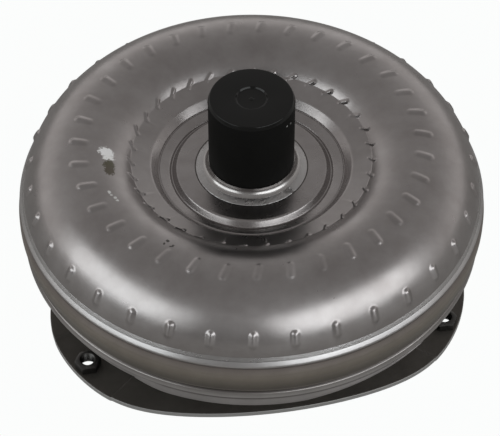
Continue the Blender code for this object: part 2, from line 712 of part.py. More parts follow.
def make_turbine_hub(parent):
    seat = FLANGE_LEVEL + DAMPER_SHEET + GAP
    section = [(37.0, TURBINE_HUB_TOP), (37.0, TURBINE_FLANGE_LEVEL), (50.0, TURBINE_FLANGE_LEVEL),
               (50.0, TURBINE_FLANGE_LEVEL - 3.0), (27.0, TURBINE_FLANGE_LEVEL - 3.0),
               (27.0, seat), (TURBINE_HUB_RADIUS, seat), (TURBINE_HUB_RADIUS, 27.0), (22.4, 27.0),
               (22.4, 24.0), (TURBINE_HUB_RADIUS, 24.0),
               (TURBINE_HUB_RADIUS, TURBINE_HUB_BOTTOM), (10.0, TURBINE_HUB_BOTTOM), (10.0, TURBINE_HUB_TOP)]
    hub = add_part(turned("turbine_hub", section, SMALL_STEPS), "turbine_hub", HUB_STEEL, parent)
    bore = spline_cutter("turbine_hub_spline", 13.2, 14.8, 12, TURBINE_HUB_BOTTOM - 1.0,
                         TURBINE_HUB_TOP + 1.0)
    boolean(hub, bore, "DIFFERENCE")
    holes = rivet_holes("hub_rivet_holes", TURBINE_RIVET_CIRCLE, TURBINE_RIVET_HOLE_RADIUS,
                        TURBINE_FLANGE_LEVEL - 6.0, TURBINE_FLANGE_LEVEL + 1.0)
    boolean(hub, holes, "DIFFERENCE")


def make_rivet(name, circle, index, bottom, top, shank, head, parent):
    """A shank with a flat head at each end, through the sheets between them."""
    section = [(0.0, top), (head - 0.6, top), (head, top - 1.4), (shank, top - 1.4), (shank, bottom + 1.4),
               (head, bottom + 1.4), (head - 0.6, bottom), (0.0, bottom)]
    rivet = turned(name, section, 8, closed=False)
    x, y = polar(circle, 45.0 + 360.0 / SPRING_COUNT * index)
    rivet.location = (x * MM, y * MM, 0.0)
    add_part(rivet, name, BEARING_STEEL, parent)


# -------------------------------------------------- lock-up piston and damper

def make_piston(parent):
    low = COVER_BOTTOM + FLOOR_SHEET + 3.1
    high = low + 2.5
    rim = PISTON_RADIUS - 2.5
    bore = TURBINE_HUB_RADIUS + GAP
    section = [(PISTON_RADIUS, 35.4), (PISTON_RADIUS, low + 1.5), (PISTON_RADIUS - 1.5, low), (bore, low),
               (bore, 30.0), (bore + 2.4, 30.0), (bore + 2.4, high), (rim, high), (rim, 35.4)]
    piston = add_part(turned("lockup_piston", section, INSIDE_STEPS), "lockup_piston", SHEET_STEEL, parent)
    notches = []
    for index in range(SPRING_COUNT):
        turn = 45.0 + 360.0 / SPRING_COUNT * index
        x, y = polar(PISTON_RADIUS, turn)
        notches.append(box("notch", (12.0, 13.0, 10.0), (x, y, 35.5), turn))
    bpy.context.view_layer.update()
    boolean(piston, joined_cutter("piston_notches", notches), "DIFFERENCE")

    lining = ring("friction_lining", 86.0, 100.0, low - GAP - 1.2, low - GAP, INSIDE_STEPS)
    add_part(lining, "friction_lining", LINING_PAPER, parent)


def make_piston_seal(parent):
    seal = ring("piston_seal", 22.7, TURBINE_HUB_RADIUS - 0.05, 24.3, 26.7, SMALL_STEPS)
    add_part(seal, "piston_seal", SEAL_RUBBER, parent)


def window_cutter(name, level, clearance):
    """Cutter for the spring windows of one damper sheet."""
    windows = []
    for index in range(SPRING_COUNT):
        turn = 360.0 / SPRING_COUNT * index
        x, y = polar(SPRING_CIRCLE, turn)
        size = (2.0 * SPRING_RADIUS + 1.6, SPRING_LENGTH + 2.0 * clearance, 3.0 * DAMPER_SHEET)
        windows.append(box("window", size, (x, y, level + DAMPER_SHEET / 2.0), turn))
    bpy.context.view_layer.update()
    return joined_cutter(name, windows)


def make_damper(drive_parent, turbine_parent, spring_parent):
    drive = ring("damper_drive_plate", 56.0, 98.8, DRIVE_PLATE_LEVEL, DRIVE_PLATE_LEVEL + DAMPER_SHEET,
                 INSIDE_STEPS)
    add_part(drive, "damper_drive_plate", SHEET_STEEL, drive_parent)
    tabs = []
    for index in range(SPRING_COUNT):
        turn = 45.0 + 360.0 / SPRING_COUNT * index
        x, y = polar(PISTON_RADIUS - 4.0, turn)
        place = (x, y, DRIVE_PLATE_LEVEL + DAMPER_SHEET / 2.0)
        tabs.append(box("tab", (9.0, 12.2, DAMPER_SHEET - 0.2), place, turn))
    bpy.context.view_layer.update()
    boolean(drive, joined_cutter("drive_tabs", tabs), "UNION")
    boolean(drive, window_cutter("drive_windows", DRIVE_PLATE_LEVEL, WINDOW_CLEARANCE), "DIFFERENCE")
    boolean(drive, rivet_holes("drive_rivet_holes", RIVET_CIRCLE, RIVET_HOLE_RADIUS, DRIVE_PLATE_LEVEL - 1.0,
                               DRIVE_PLATE_LEVEL + DAMPER_SHEET + 1.0), "DIFFERENCE")

    retainer_top = RETAINER_LEVEL + DAMPER_SHEET
    retainer = ring("damper_retainer", 56.0, 97.5, RETAINER_LEVEL, retainer_top, INSIDE_STEPS)
    add_part(retainer, "damper_retainer", SHEET_STEEL, drive_parent)
    windows = window_cutter("retainer_windows", RETAINER_LEVEL, WINDOW_CLEARANCE)
    boolean(retainer, windows, "DIFFERENCE")
    holes = rivet_holes("retainer_rivet_holes", RIVET_CIRCLE, RIVET_HOLE_RADIUS, RETAINER_LEVEL - 1.0,
                        retainer_top + 1.0)
    boolean(retainer, holes, "DIFFERENCE")

    flange = ring("damper_driven_flange", TURBINE_HUB_RADIUS + GAP, 87.0, FLANGE_LEVEL,
                  FLANGE_LEVEL + DAMPER_SHEET, INSIDE_STEPS)
    add_part(flange, "damper_driven_flange", SHEET_STEEL, turbine_parent)
    boolean(flange, window_cutter("flange_windows", FLANGE_LEVEL, WINDOW_CLEARANCE), "DIFFERENCE")

    for index in range(SPRING_COUNT):
        make_rivet("damper_rivet_%d" % (index + 1), RIVET_CIRCLE, index, DRIVE_PLATE_LEVEL - RIVET_HEAD_REACH,
                   RETAINER_LEVEL + DAMPER_SHEET + RIVET_HEAD_REACH, RIVET_SHANK_RADIUS, RIVET_HEAD_RADIUS,
                   drive_parent)
        make_spring(index, spring_parent)


def make_spring(index, parent):
    """A straight coil that lies across the radius, on the circle of springs."""
    name = "damper_spring_%d" % (index + 1)
    points_per_turn = 7
    count = int(SPRING_TURNS * points_per_turn) + 1
    coil = SPRING_RADIUS - SPRING_WIRE
    run = SPRING_LENGTH - 2.0 * SPRING_WIRE
    curve = bpy.data.curves.new(name, "CURVE")
    curve.dimensions = "3D"
    curve.bevel_depth = SPRING_WIRE * MM
    curve.bevel_resolution = 2
    curve.use_fill_caps = True
    spline = curve.splines.new("POLY")
    spline.points.add(count - 1)
    for k, point in enumerate(spline.points):
        angle = 2.0 * math.pi * k / points_per_turn
        along = run * (k / (count - 1) - 0.5)
        point.co = (coil * math.cos(angle) * MM, along * MM, coil * math.sin(angle) * MM, 1.0)
    spring = bpy.data.objects.new(name, curve)
    PARTS.objects.link(spring)
    turn = 360.0 / SPRING_COUNT * index
    x, y = polar(SPRING_CIRCLE, turn)
    spring.location = (x * MM, y * MM, SPRING_LEVEL * MM)
    spring.rotation_euler.z = math.radians(turn)
    add_part(spring, name, SPRING_STEEL, parent)


def make_thrust_washer():
    low = COVER_BOTTOM + FLOOR_SHEET + GAP
    washer = ring("cover_thrust_washer", 12.0, 21.0, low, TURBINE_HUB_BOTTOM - GAP, SMALL_STEPS)
    add_part(washer, "cover_thrust_washer", LINING_PAPER)


# -------------------------------------------------------------------- assembly

def build():
    cap_axis = axis_empty("cap_axis")
    turbine_axis = axis_empty("turbine_axis")
    stator_axis = axis_empty("stator_axis")
    inner_race_axis = axis_empty("inner_race_axis")
    impeller_cage_axis = axis_empty("impeller_cage_axis")
    turbine_cage_axis = axis_empty("turbine_cage_axis")
    damper_axis = axis_empty("damper_axis", turbine_axis)
    spring_axis = axis_empty("spring_axis", turbine_axis)
    piston_axis = axis_empty("piston_axis", damper_axis)

    make_impeller_shell()
    make_bladed_wheel("impeller_blades", 1, IMPELLER_BLADES, IMPELLER_BLADE_SWING, IMPELLER_BLADE_WALL,
                      BLADE_PHASE)
    make_impeller_hub()
    make_hub_weld()
    make_hub_cap(cap_axis)

    make_front_cover()
    make_girth_weld()
    make_flange_plate()
    make_crank_pilot()
    make_thrust_washer()
    for index in range(LOBE_COUNT):
        make_rim_strip(index)
        make_weld_nut(index)

    make_turbine_shell(turbine_axis)
    make_bladed_wheel("turbine_blades", -1, TURBINE_BLADES, TURBINE_BLADE_SWING, TURBINE_BLADE_WALL,
                      180.0 / TURBINE_BLADES, turbine_axis)
    make_turbine_hub(turbine_axis)
    for index in range(SPRING_COUNT):
        make_rivet("turbine_rivet_%d" % (index + 1), TURBINE_RIVET_CIRCLE, index, TURBINE_FLANGE_LEVEL - 4.7,
                   TURBINE_FLANGE_LEVEL + 4.0, TURBINE_RIVET_SHANK_RADIUS, TURBINE_RIVET_HEAD_RADIUS,
                   turbine_axis)

    make_stator_wheel(stator_axis)
    make_freewheel(stator_axis, inner_race_axis)
    make_thrust_bearing("impeller_bearing", IMPELLER_BEARING_TOP, None, impeller_cage_axis, stator_axis)
    make_thrust_bearing("turbine_bearing", TURBINE_BEARING_TOP, stator_axis, turbine_cage_axis, turbine_axis)

    make_piston(piston_axis)
    make_piston_seal(turbine_axis)
    make_damper(damper_axis, turbine_axis, spring_axis)

    for obj in PARTS.objects:
        if obj.type == "MESH":
            smooth(obj.data)


build()
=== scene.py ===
"""Finished surfaces of a lock-up torque converter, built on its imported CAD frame.

The converter stands on its crank pilot and turns about the Z axis. Lengths
are millimetres and angles degrees until the helpers turn them into metres and
radians, but the camera's distance and the studio are in metres. A section is
a line of (radius, level) points that is turned round the axis. A fillet is
the radius that a section's corner is rounded to.
"""

import json
import math
import random

import bmesh
import bpy
import numpy as np
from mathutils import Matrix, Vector


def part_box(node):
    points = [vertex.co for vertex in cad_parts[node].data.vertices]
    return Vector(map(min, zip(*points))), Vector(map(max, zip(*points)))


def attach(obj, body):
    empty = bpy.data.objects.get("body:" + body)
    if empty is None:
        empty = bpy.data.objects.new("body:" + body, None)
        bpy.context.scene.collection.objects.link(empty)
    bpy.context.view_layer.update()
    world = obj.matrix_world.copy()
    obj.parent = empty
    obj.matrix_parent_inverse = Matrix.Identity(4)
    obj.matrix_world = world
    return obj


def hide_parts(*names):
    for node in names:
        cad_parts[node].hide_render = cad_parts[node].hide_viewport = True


MM = 0.001

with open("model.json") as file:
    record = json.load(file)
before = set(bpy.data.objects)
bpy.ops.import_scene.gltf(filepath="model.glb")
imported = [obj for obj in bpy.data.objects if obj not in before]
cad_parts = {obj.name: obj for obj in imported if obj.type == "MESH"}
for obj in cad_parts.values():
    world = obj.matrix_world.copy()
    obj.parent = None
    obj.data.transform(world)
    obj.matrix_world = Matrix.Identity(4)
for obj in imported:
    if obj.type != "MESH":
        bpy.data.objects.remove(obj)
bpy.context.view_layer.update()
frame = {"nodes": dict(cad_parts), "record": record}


def top_of(node):
    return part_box(node)[1].z / MM


def bottom_of(node):
    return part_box(node)[0].z / MM


def radius_of(node):
    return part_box(node)[1].x / MM


def middle_of(node):
    low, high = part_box(node)
    return (low + high) / (2.0 * MM)


# Driving dimensions, read from the frame.
PLATE_BOTTOM = bottom_of("flange_plate")
PLATE_TOP = top_of("flange_plate")
STRIP_BOTTOM = bottom_of("rim_strip_1")
STRIP_TOP = top_of("rim_strip_1")
BODY_RADIUS = radius_of("front_cover")
COVER_BOTTOM = bottom_of("front_cover")
WELD_DROP = 2.2  # the weld line is drawn this far below the CAD solid's
WELD_LEVEL = top_of("girth_weld") - WELD_DROP
CAP_TOP = top_of("hub_cap")
CAP_BOTTOM = bottom_of("hub_cap")
CAP_RADIUS = radius_of("hub_cap")
HUB_TOP = top_of("impeller_hub")
HUB_FOOT = bottom_of("impeller_hub")
HUB_FOOT_RADIUS = radius_of("impeller_hub")
PILOT_FLANGE_RADIUS = radius_of("crank_pilot")

# Impeller shell.
GAP = 0.3
HUB_FOOT_DEPTH = 7.0
DISH_LEVEL = HUB_FOOT + HUB_FOOT_DEPTH
CIRCUIT_RADIUS = 98.0
OUTER_SECTION = 40.0
INNER_SECTION = 34.0
MID_PLANE = top_of("impeller_shell") - OUTER_SECTION
SECTION_SHIFT = OUTER_SECTION - INNER_SECTION
CREASE_ANGLE = 140.0
SHEET = 4.0
BLADES = 35
STEPS = 40 * BLADES  # a whole number of steps to each blade
INSIDE_STEP = 12.0

# Hub and its weld.
HUB_RADIUS = 23.2
HUB_BORE = 19.5
NECK_RADIUS = 25.8
FLARE_RADIUS = 4.8
FLARE_RISE = 7.0
DRIVE_SLOT_WIDTH = 9.0
DRIVE_SLOT_DEPTH = 9.0
BEAD_RADIUS = 33.2
BEAD_STEPS = 24
WELD_TOE = 33.7

# Cap.
CAP_BEVEL = 2.4

# Front cover, flange plate and fasteners.
STRIP_RADIUS = 138.2
STRIP_HALF_ANGLE = 38.8
STRIP_TAPER = 9.0
STRIP_ROUNDING = 2.0
STRIP_TIP_FALL = 0.9
STRIP_SINK = 2.2
STRIP_RUNOUT = 34.0
STRIP_RUNOUT_SHARE = 0.75
GIRTH_RADIUS = 138.5
COVER_BORE = 135.0
LOBE_COUNT = 3
NUT_PLACE = middle_of("weld_nut_1")
LOBE_PHASE = math.degrees(math.atan2(NUT_PLACE.y, NUT_PLACE.x))
LOBE_RADIUS = 135.8
SIDE_DISTANCE = 115.5
SIDE_ARC_RADIUS = 300.0
NUT_CIRCLE = math.hypot(NUT_PLACE.x, NUT_PLACE.y)
NUT_ACROSS_FLATS = 14.0
NUT_BORE = 4.1
NUT_COLLAR = 5.8
NUT_CHAMFER = 30.0
THREAD_DEPTH = 0.55
THREAD_PITCH = 1.25
PAD_HALF_ANGLE = 12.4
PAD_RADIUS = 106.0
PAD_DROP = 0.8
PAD_EASE = 0.006  # radians
PLATE_HOLE = 5.8
PILOT_RADIUS = 18.0

# Marks of handling on the shell: bearing round the axis, angle of its section,
# size and colour. A scatter of specks has a bearing and an angle to lie round.
SHELL_STAINS = (
    (184.0, 111.0, (5.0, 3.8, 4.0), (0.92, 0.92, 0.91)),
    (187.0, 112.0, (3.4, 2.6, 4.0), (0.90, 0.90, 0.88)),
    (191.0, 112.0, (3.5, 4.4, 4.0), (0.085, 0.075, 0.048)),
    (194.0, 111.0, (3.0, 4.0, 4.0), (0.085, 0.07, 0.05)),
)
SPECK_GROUPS = ((208.0, 102.0, (0.62, 0.62, 0.60)), (240.0, 98.0, (0.05, 0.045, 0.04)))
SPECK_SEED = 7
SPECKS_PER_GROUP = 5
SPECK_SPREAD = 2.5
SPECK_SIZE = (0.5, 1.3)

# Scuffs on the side of the cap: bearing, depth below its top and size.
CAP_SCUFFS = ((-36.0, 8.5, (0.7, 0.7, 0.5)), (-27.0, 9.5, (0.5, 0.8, 0.5)))

# Weld spatter on the hub bead: one cluster, whose lumps get smaller outwards.
SPATTER_SEED = 11
SPATTER_BEARING = -45.0
SPATTER_COUNT = 20
SPATTER_SPREAD = 2.4
SPATTER_REACH = 1.4
SPATTER_RISE = 2.6

# Tone of the cover, by height above the lower edge of its lip strips: brown staining and lighter bare
# bands, with painted shade in the grooves and gaps and painted highlights on the bands.
COVER_STAIN_AND_PAINTED_LIGHT = (
    (-1.7, (0.50, 0.48, 0.475)), (4.3, (0.46, 0.44, 0.435)), (5.5, (0.09, 0.08, 0.075)),
    (7.3, (0.09, 0.08, 0.075)), (8.3, (0.52, 0.50, 0.49)), (10.9, (0.34, 0.32, 0.31)),
    (11.9, (0.06, 0.052, 0.045)), (13.5, (0.06, 0.052, 0.045)), (14.5, (0.33, 0.30, 0.27)),
    (16.3, (0.19, 0.17, 0.15)), (20.3, (0.255, 0.228, 0.19)), (28.8, (0.43, 0.388, 0.34)),
    (32.3, (0.36, 0.322, 0.298)), (34.8, (0.29, 0.256, 0.242)), (36.8, (0.60, 0.585, 0.58)),
    (44.3, (0.66, 0.65, 0.645)),
)


# ------------------------------------------------------------------- sections

def arc(centre_r, centre_z, radius, start, end, step):
    """Points on an arc of a section, about one step apart."""
    count = max(2, math.ceil(abs(math.radians(end - start)) * radius / step))
    points = []
    for i in range(count + 1):
        angle = math.radians(start + (end - start) * i / count)
        points.append((centre_r + radius * math.cos(angle), centre_z + radius * math.sin(angle)))
    return points


def rounded(corners, segments=5):
    """A section line whose (radius, level, fillet) corners are rounded off."""
    points = []
    for i, (r, z, fillet) in enumerate(corners):
        if fillet <= 0.0 or i == 0 or i == len(corners) - 1:
            points.append((r, z))
            continue
        here = Vector((r, z))
        back = Vector(corners[i - 1][:2]) - here
        ahead = Vector(corners[i + 1][:2]) - here
        half = back.angle(ahead) / 2.0
        run = min(fillet / math.tan(half), 0.49 * back.length, 0.49 * ahead.length)
        start = here + back.normalized() * run
        end = here + ahead.normalized() * run
        for k in range(segments + 1):
            t = k / segments
            point = start * (1 - t) ** 2 + here * (2 * t * (1 - t)) + end * t ** 2
            points.append((point.x, point.y))
    return points


def section_arrays(section, closed):
    """Radius, level, outward normal and run length of each point of a section."""
    line = np.array(section, float)
    if closed:
        ahead = np.roll(line, -1, 0) - line
        back = line - np.roll(line, 1, 0)
    else:
        ahead = np.vstack((line[1:] - line[:-1], line[-1:] - line[-2:-1]))
        back = np.vstack((line[1:2] - line[0:1], line[1:] - line[:-1]))
    along = ahead / np.maximum(np.linalg.norm(ahead, axis=1), 1e-9)[:, None]
    along += back / np.maximum(np.linalg.norm(back, axis=1), 1e-9)[:, None]
    along /= np.maximum(np.linalg.norm(along, axis=1), 1e-9)[:, None]
    normal = np.stack((along[:, 1], -along[:, 0]), 1)
    steps = np.linalg.norm(line[1:] - line[:-1], axis=1)
    run = np.concatenate(([0.0], np.cumsum(steps)))
    return line[:, 0], line[:, 1], normal, run


# --------------------------------------------------------------------- meshes

def link(obj):
    bpy.context.scene.collection.objects.link(obj)
    return obj


def mesh_object(name, bm):
    mesh = bpy.data.meshes.new(name)
    bm.to_mesh(mesh)
    bm.free()
    return link(bpy.data.objects.new(name, mesh))


def shade(obj, degrees=35.0):
    obj.data.shade_smooth()
    obj.data.set_sharp_from_angle(angle=math.radians(degrees))
    return obj


def grid_object(name, points, wrap_rows, sharp=35.0):
    """A surface through a (rows, steps, 3) grid of points, closed round its steps."""
    rows, steps, _ = points.shape
    index = np.arange(rows * steps).reshape(rows, steps)
    top = index if wrap_rows else index[:-1]
    low = np.roll(index, -1, 0) if wrap_rows else index[1:]
    faces = np.stack((top, np.roll(top, -1, 1), np.roll(low, -1, 1), low), 2).reshape(-1, 4)
    mesh = bpy.data.meshes.new(name)
    mesh.vertices.add(rows * steps)
    mesh.vertices.foreach_set("co", (points * MM).astype(np.float32).ravel())
    mesh.loops.add(faces.size)
    mesh.loops.foreach_set("vertex_index", faces.ravel())
    mesh.polygons.add(len(faces))
    mesh.polygons.foreach_set("loop_start", np.arange(len(faces)) * 4)
    mesh.update(calc_edges=True)
    bm = bmesh.new()
    bm.from_mesh(mesh)
    bmesh.ops.remove_doubles(bm, verts=bm.verts, dist=1e-7)
    bmesh.ops.recalc_face_normals(bm, faces=bm.faces)
    bm.to_mesh(mesh)
    bm.free()
    return shade(link(bpy.data.objects.new(name, mesh)), sharp)


def turned(name, section, steps=192, closed=True, relief=None, sharp=35.0):
    """Turn a section round the axis; relief(run, phi, r, z) lifts it along its normal."""
    r, z, normal, run = section_arrays(section, closed)
    phi = np.arange(steps) * 2.0 * math.pi / steps
    lift = np.zeros((len(r), steps))
    if relief is not None:
        lift = relief(run[:, None], phi[None, :], r[:, None], z[:, None])
    radius = r[:, None] + lift * normal[:, 0:1]
    level = z[:, None] + lift * normal[:, 1:2]
    points = np.stack((radius * np.cos(phi), radius * np.sin(phi), level), 2)
    return grid_object(name, points, closed, sharp)


def stadium(u, v, half_length, half_width, slant):
    """Distance from a slanted slot's middle line, as a share of its half width."""
    turn = math.radians(slant)
    along = -u * math.sin(turn) + v * math.cos(turn)
    across = u * math.cos(turn) + v * math.sin(turn)
    over = np.maximum(np.abs(along) - (half_length - half_width), 0.0)
    return np.hypot(over, across) / half_width


def cut(obj, tools, operation="DIFFERENCE"):
    """Apply a Boolean with each tool, and remove the tools."""
    for tool in tools:
        modifier = obj.modifiers.new("cut", "BOOLEAN")
        modifier.operation = operation
        modifier.solver = "EXACT"
        modifier.object = tool
    bpy.context.view_layer.update()
    graph = bpy.context.evaluated_depsgraph_get()
    mesh = bpy.data.meshes.new_from_object(obj.evaluated_get(graph))
    obj.modifiers.clear()
    obj.data = mesh
    for tool in tools:
        bpy.data.objects.remove(tool, do_unlink=True)
    return obj


def bar(radius, bottom, top, sides, x=0.0, y=0.0, turn=0.0):
    """A plain prism, used as a cutting tool."""
    bm = bmesh.new()
    bmesh.ops.create_cone(bm, cap_ends=True, segments=sides, radius1=radius * MM,
                          radius2=radius * MM, depth=(top - bottom) * MM)
    obj = mesh_object("tool", bm)
    obj.location = (x * MM, y * MM, (bottom + top) / 2.0 * MM)
    obj.rotation_euler.z = math.radians(turn)
    return obj


def block(size, location, turn=0.0):
    """A plain block, used as a cutting tool."""
    bm = bmesh.new()
    bmesh.ops.create_cube(bm, size=1.0)
    bmesh.ops.scale(bm, vec=[side * MM for side in size], verts=bm.verts)
    obj = mesh_object("tool", bm)
    obj.location = [value * MM for value in location]
    obj.rotation_euler.z = math.radians(turn)
    return obj


def polar(radius, degrees):
    angle = math.radians(degrees)
    return radius * math.cos(angle), radius * math.sin(angle)


def place(piece, body, slot, material, *nodes):
    """Give a piece its material and its body, and hide the CAD nodes it replaces; the slot is not used.
    """
    piece.data.materials.append(material)
    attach(piece, body)
    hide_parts(*nodes)


# ------------------------------------------------------------------ materials

class Graph:
    """Short names for building one material's node tree."""

    def __init__(self, name, colour, roughness, metallic):
        self.material = bpy.data.materials.new(name)
        self.material.use_nodes = True
        self.tree = self.material.node_tree
        self.shader = self.tree.nodes["Principled BSDF"]
        self.shader.inputs["Base Color"].default_value = (*colour, 1.0)
        self.shader.inputs["Roughness"].default_value = roughness
        self.shader.inputs["Metallic"].default_value = metallic
        self.place = self.tree.nodes.new("ShaderNodeTexCoord").outputs["Object"]
        self.dull = None

    def feed(self, socket, value):
        if isinstance(value, bpy.types.NodeSocket):
            self.tree.links.new(value, socket)
        else:
            socket.default_value = value

    def stretch(self, scale):
        node = self.tree.nodes.new("ShaderNodeMapping")
        node.inputs["Scale"].default_value = scale
        self.feed(node.inputs["Vector"], self.place)
        return node.outputs["Vector"]

    def noise(self, scale, detail=3.0, roughness=0.5, distortion=0.0, vector=None):
        node = self.tree.nodes.new("ShaderNodeTexNoise")
        node.inputs["Scale"].default_value = scale
        node.inputs["Detail"].default_value = detail
        node.inputs["Roughness"].default_value = roughness
        node.inputs["Distortion"].default_value = distortion
        self.feed(node.inputs["Vector"], vector or self.place)
        return node.outputs["Fac"]

    def remap(self, value, low, high, to_low=0.0, to_high=1.0):
        node = self.tree.nodes.new("ShaderNodeMapRange")
        self.feed(node.inputs["Value"], value)
        node.inputs["From Min"].default_value = low
        node.inputs["From Max"].default_value = high
        node.inputs["To Min"].default_value = to_low
        node.inputs["To Max"].default_value = to_high
        return node.outputs["Result"]

    def math(self, operation, first, second=0.0):
        node = self.tree.nodes.new("ShaderNodeMath")
        node.operation = operation
        self.feed(node.inputs[0], first)
        self.feed(node.inputs[1], second)
        return node.outputs["Value"]

    def mix(self, factor, first, second, blend="MIX"):
        node = self.tree.nodes.new("ShaderNodeMix")
        node.data_type = "RGBA"
        node.blend_type = blend
        self.feed(node.inputs["Factor"], factor)
        for name, value in (("A", first), ("B", second)):
            linked = isinstance(value, bpy.types.NodeSocket)
            self.feed(node.inputs[name], value if linked else (*value, 1.0))
        return node.outputs["Result"]

    def vector_math(self, operation, first, second=None):
        node = self.tree.nodes.new("ShaderNodeVectorMath")
        node.operation = operation
        self.feed(node.inputs[0], first)
        if second is not None:
            node.inputs[1].default_value = [value * MM for value in second]
        return node

    def spot(self, centre, size, softness):
        """1 inside an uneven patch round a place on the surface, 0 outside it."""
        offset = self.vector_math("SUBTRACT", self.place, centre).outputs["Vector"]
        squashed = self.vector_math("DIVIDE", offset, size).outputs["Vector"]
        away = self.vector_math("LENGTH", squashed).outputs["Value"]
        fringe = self.remap(self.noise(700.0, 6.0, 0.7), 0.25, 0.75, -0.6, 0.6)
        ragged = self.math("ADD", away, fringe)
        return self.remap(ragged, 1.0 + softness, 1.0 - softness)

    def height(self):
        node = self.tree.nodes.new("ShaderNodeSeparateXYZ")
        self.feed(node.inputs["Vector"], self.place)
        return node.outputs["Z"]

    def axis_distance(self):
        return self.vector_math("LENGTH", self.stretch((1.0, 1.0, 0.0))).outputs["Value"]

    def bump(self, height, distance, strength=1.0):
        node = self.tree.nodes.new("ShaderNodeBump")
        node.inputs["Distance"].default_value = distance * MM
        node.inputs["Strength"].default_value = strength
        self.feed(node.inputs["Height"], height)
        previous = self.shader.inputs["Normal"].links
        if previous:
            self.feed(node.inputs["Normal"], previous[0].from_socket)
        self.feed(self.shader.inputs["Normal"], node.outputs["Normal"])

    def colour(self, value):
        self.feed(self.shader.inputs["Base Color"], value)

    def rough(self, value):
        self.feed(self.shader.inputs["Roughness"], value)


def pressed_steel(name, dark, light, low, high, grain=0.02):
    """Bare pressed sheet: a dull mottled skin with a fine grain."""
    graph = Graph(name, light, (low + high) / 2.0, 1.0)
    clouds = graph.remap(graph.noise(14.0, 5.0, 0.62, 0.4), 0.3, 0.7, 0.0, 0.6)
    blotches = graph.remap(graph.noise(75.0, 4.0, 0.6), 0.3, 0.7, 0.0, 0.4)
    graph.colour(graph.mix(graph.math("ADD", clouds, blotches), dark, light))
    wipe = graph.noise(40.0, 5.0, 0.65, 0.8)
    graph.rough(graph.remap(wipe, 0.25, 0.75, high, low))
    graph.bump(graph.noise(1500.0, 3.0, 0.6), grain)
    return graph


def on_dome(bearing, slant):
    """Place on the shell at a bearing round the axis and an angle of its section."""
    radius = OUTER_SECTION if slant <= 90.0 else INNER_SECTION
    x, y = polar(CIRCUIT_RADIUS + radius * math.cos(math.radians(slant)), bearing)
    return x, y, MID_PLANE + OUTER_SECTION - radius * (1.0 - math.sin(math.radians(slant)))


def shell_specks():
    """Small specks scattered round each group's middle."""
    draw = random.Random(SPECK_SEED)
    specks = []
    for bearing, slant, colour in SPECK_GROUPS:
        for _ in range(SPECKS_PER_GROUP):
            size = (draw.uniform(*SPECK_SIZE), draw.uniform(*SPECK_SIZE), 2.0)
            speck_bearing = bearing + draw.gauss(0.0, SPECK_SPREAD)
            speck_slant = slant + draw.gauss(0.0, SPECK_SPREAD)
            specks.append((speck_bearing, speck_slant, size, colour))
    return tuple(specks)


def shell_material():
    """Pressed and spun sheet, smoother inside the crease, with a few marks of handling and a painted
    shadow line at the hub weld's toe.
    """
    graph = pressed_steel("shell_steel", (0.295, 0.273, 0.266), (0.425, 0.405, 0.40), 0.26, 0.35)
    spun = graph.remap(graph.axis_distance(), (RING_A + 1.0) * MM, (RING_A + 6.0) * MM)
    dull = graph.shader.inputs["Roughness"].links[0].from_socket
    graph.rough(graph.math("MULTIPLY", dull, graph.remap(spun, 0.0, 1.0, 0.86, 1.0)))
    skin = graph.shader.inputs["Base Color"].links[0].from_socket
    for bearing, slant, size, colour in SHELL_STAINS + shell_specks():
        stain = graph.spot(on_dome(bearing, slant), size, 0.12)
        skin = graph.mix(stain, skin, colour)
        graph.dull = graph.math("MAXIMUM", graph.dull, stain) if graph.dull else stain
    # A thin painted shadow line round the toe of the hub weld.
    toe_shadow = graph.math("ABSOLUTE", graph.math("SUBTRACT", graph.axis_distance(), WELD_TOE * MM))
    skin = graph.mix(graph.remap(toe_shadow, 0.45 * MM, 0.1 * MM), skin, (0.05, 0.045, 0.04))
    graph.colour(skin)
    graph.feed(graph.shader.inputs["Metallic"], graph.remap(graph.dull, 0.0, 1.0, 1.0, 0.1))
    return graph.material


def cover_material():
    """Drawn sheet, coloured by height: brown staining and lighter bare bands, with painted shade in the
    grooves and painted highlights on the bands.
    """
    graph = pressed_steel("cover_steel", (0.74, 0.74, 0.74), (1.0, 1.0, 1.0), 0.26, 0.36)
    skin = graph.shader.inputs["Base Color"].links[0].from_socket
    # The ramp paints shade into the grooves and gaps, and highlights onto the bright bands.
    ramp = graph.tree.nodes.new("ShaderNodeValToRGB")
    low = COVER_STAIN_AND_PAINTED_LIGHT[0][0]
    high = COVER_STAIN_AND_PAINTED_LIGHT[-1][0]
    share = graph.remap(graph.height(), (STRIP_BOTTOM + low) * MM, (STRIP_BOTTOM + high) * MM)
    graph.feed(ramp.inputs["Fac"], share)
    while len(ramp.color_ramp.elements) < len(COVER_STAIN_AND_PAINTED_LIGHT):
        ramp.color_ramp.elements.new(1.0)
    for element, (rise, colour) in zip(ramp.color_ramp.elements, COVER_STAIN_AND_PAINTED_LIGHT):
        element.position = (rise - low) / (high - low)
        element.color = (*colour, 1.0)
    graph.colour(graph.mix(1.0, skin, ramp.outputs["Color"], "MULTIPLY"))
    return graph.material


def weld_material():
    return pressed_steel("weld_steel", (0.38, 0.37, 0.365), (0.56, 0.55, 0.545), 0.22, 0.34, 0.1).material


def hub_material():
    return pressed_steel("hub_steel", (0.38, 0.36, 0.35), (0.56, 0.55, 0.54), 0.18, 0.30, 0.03).material


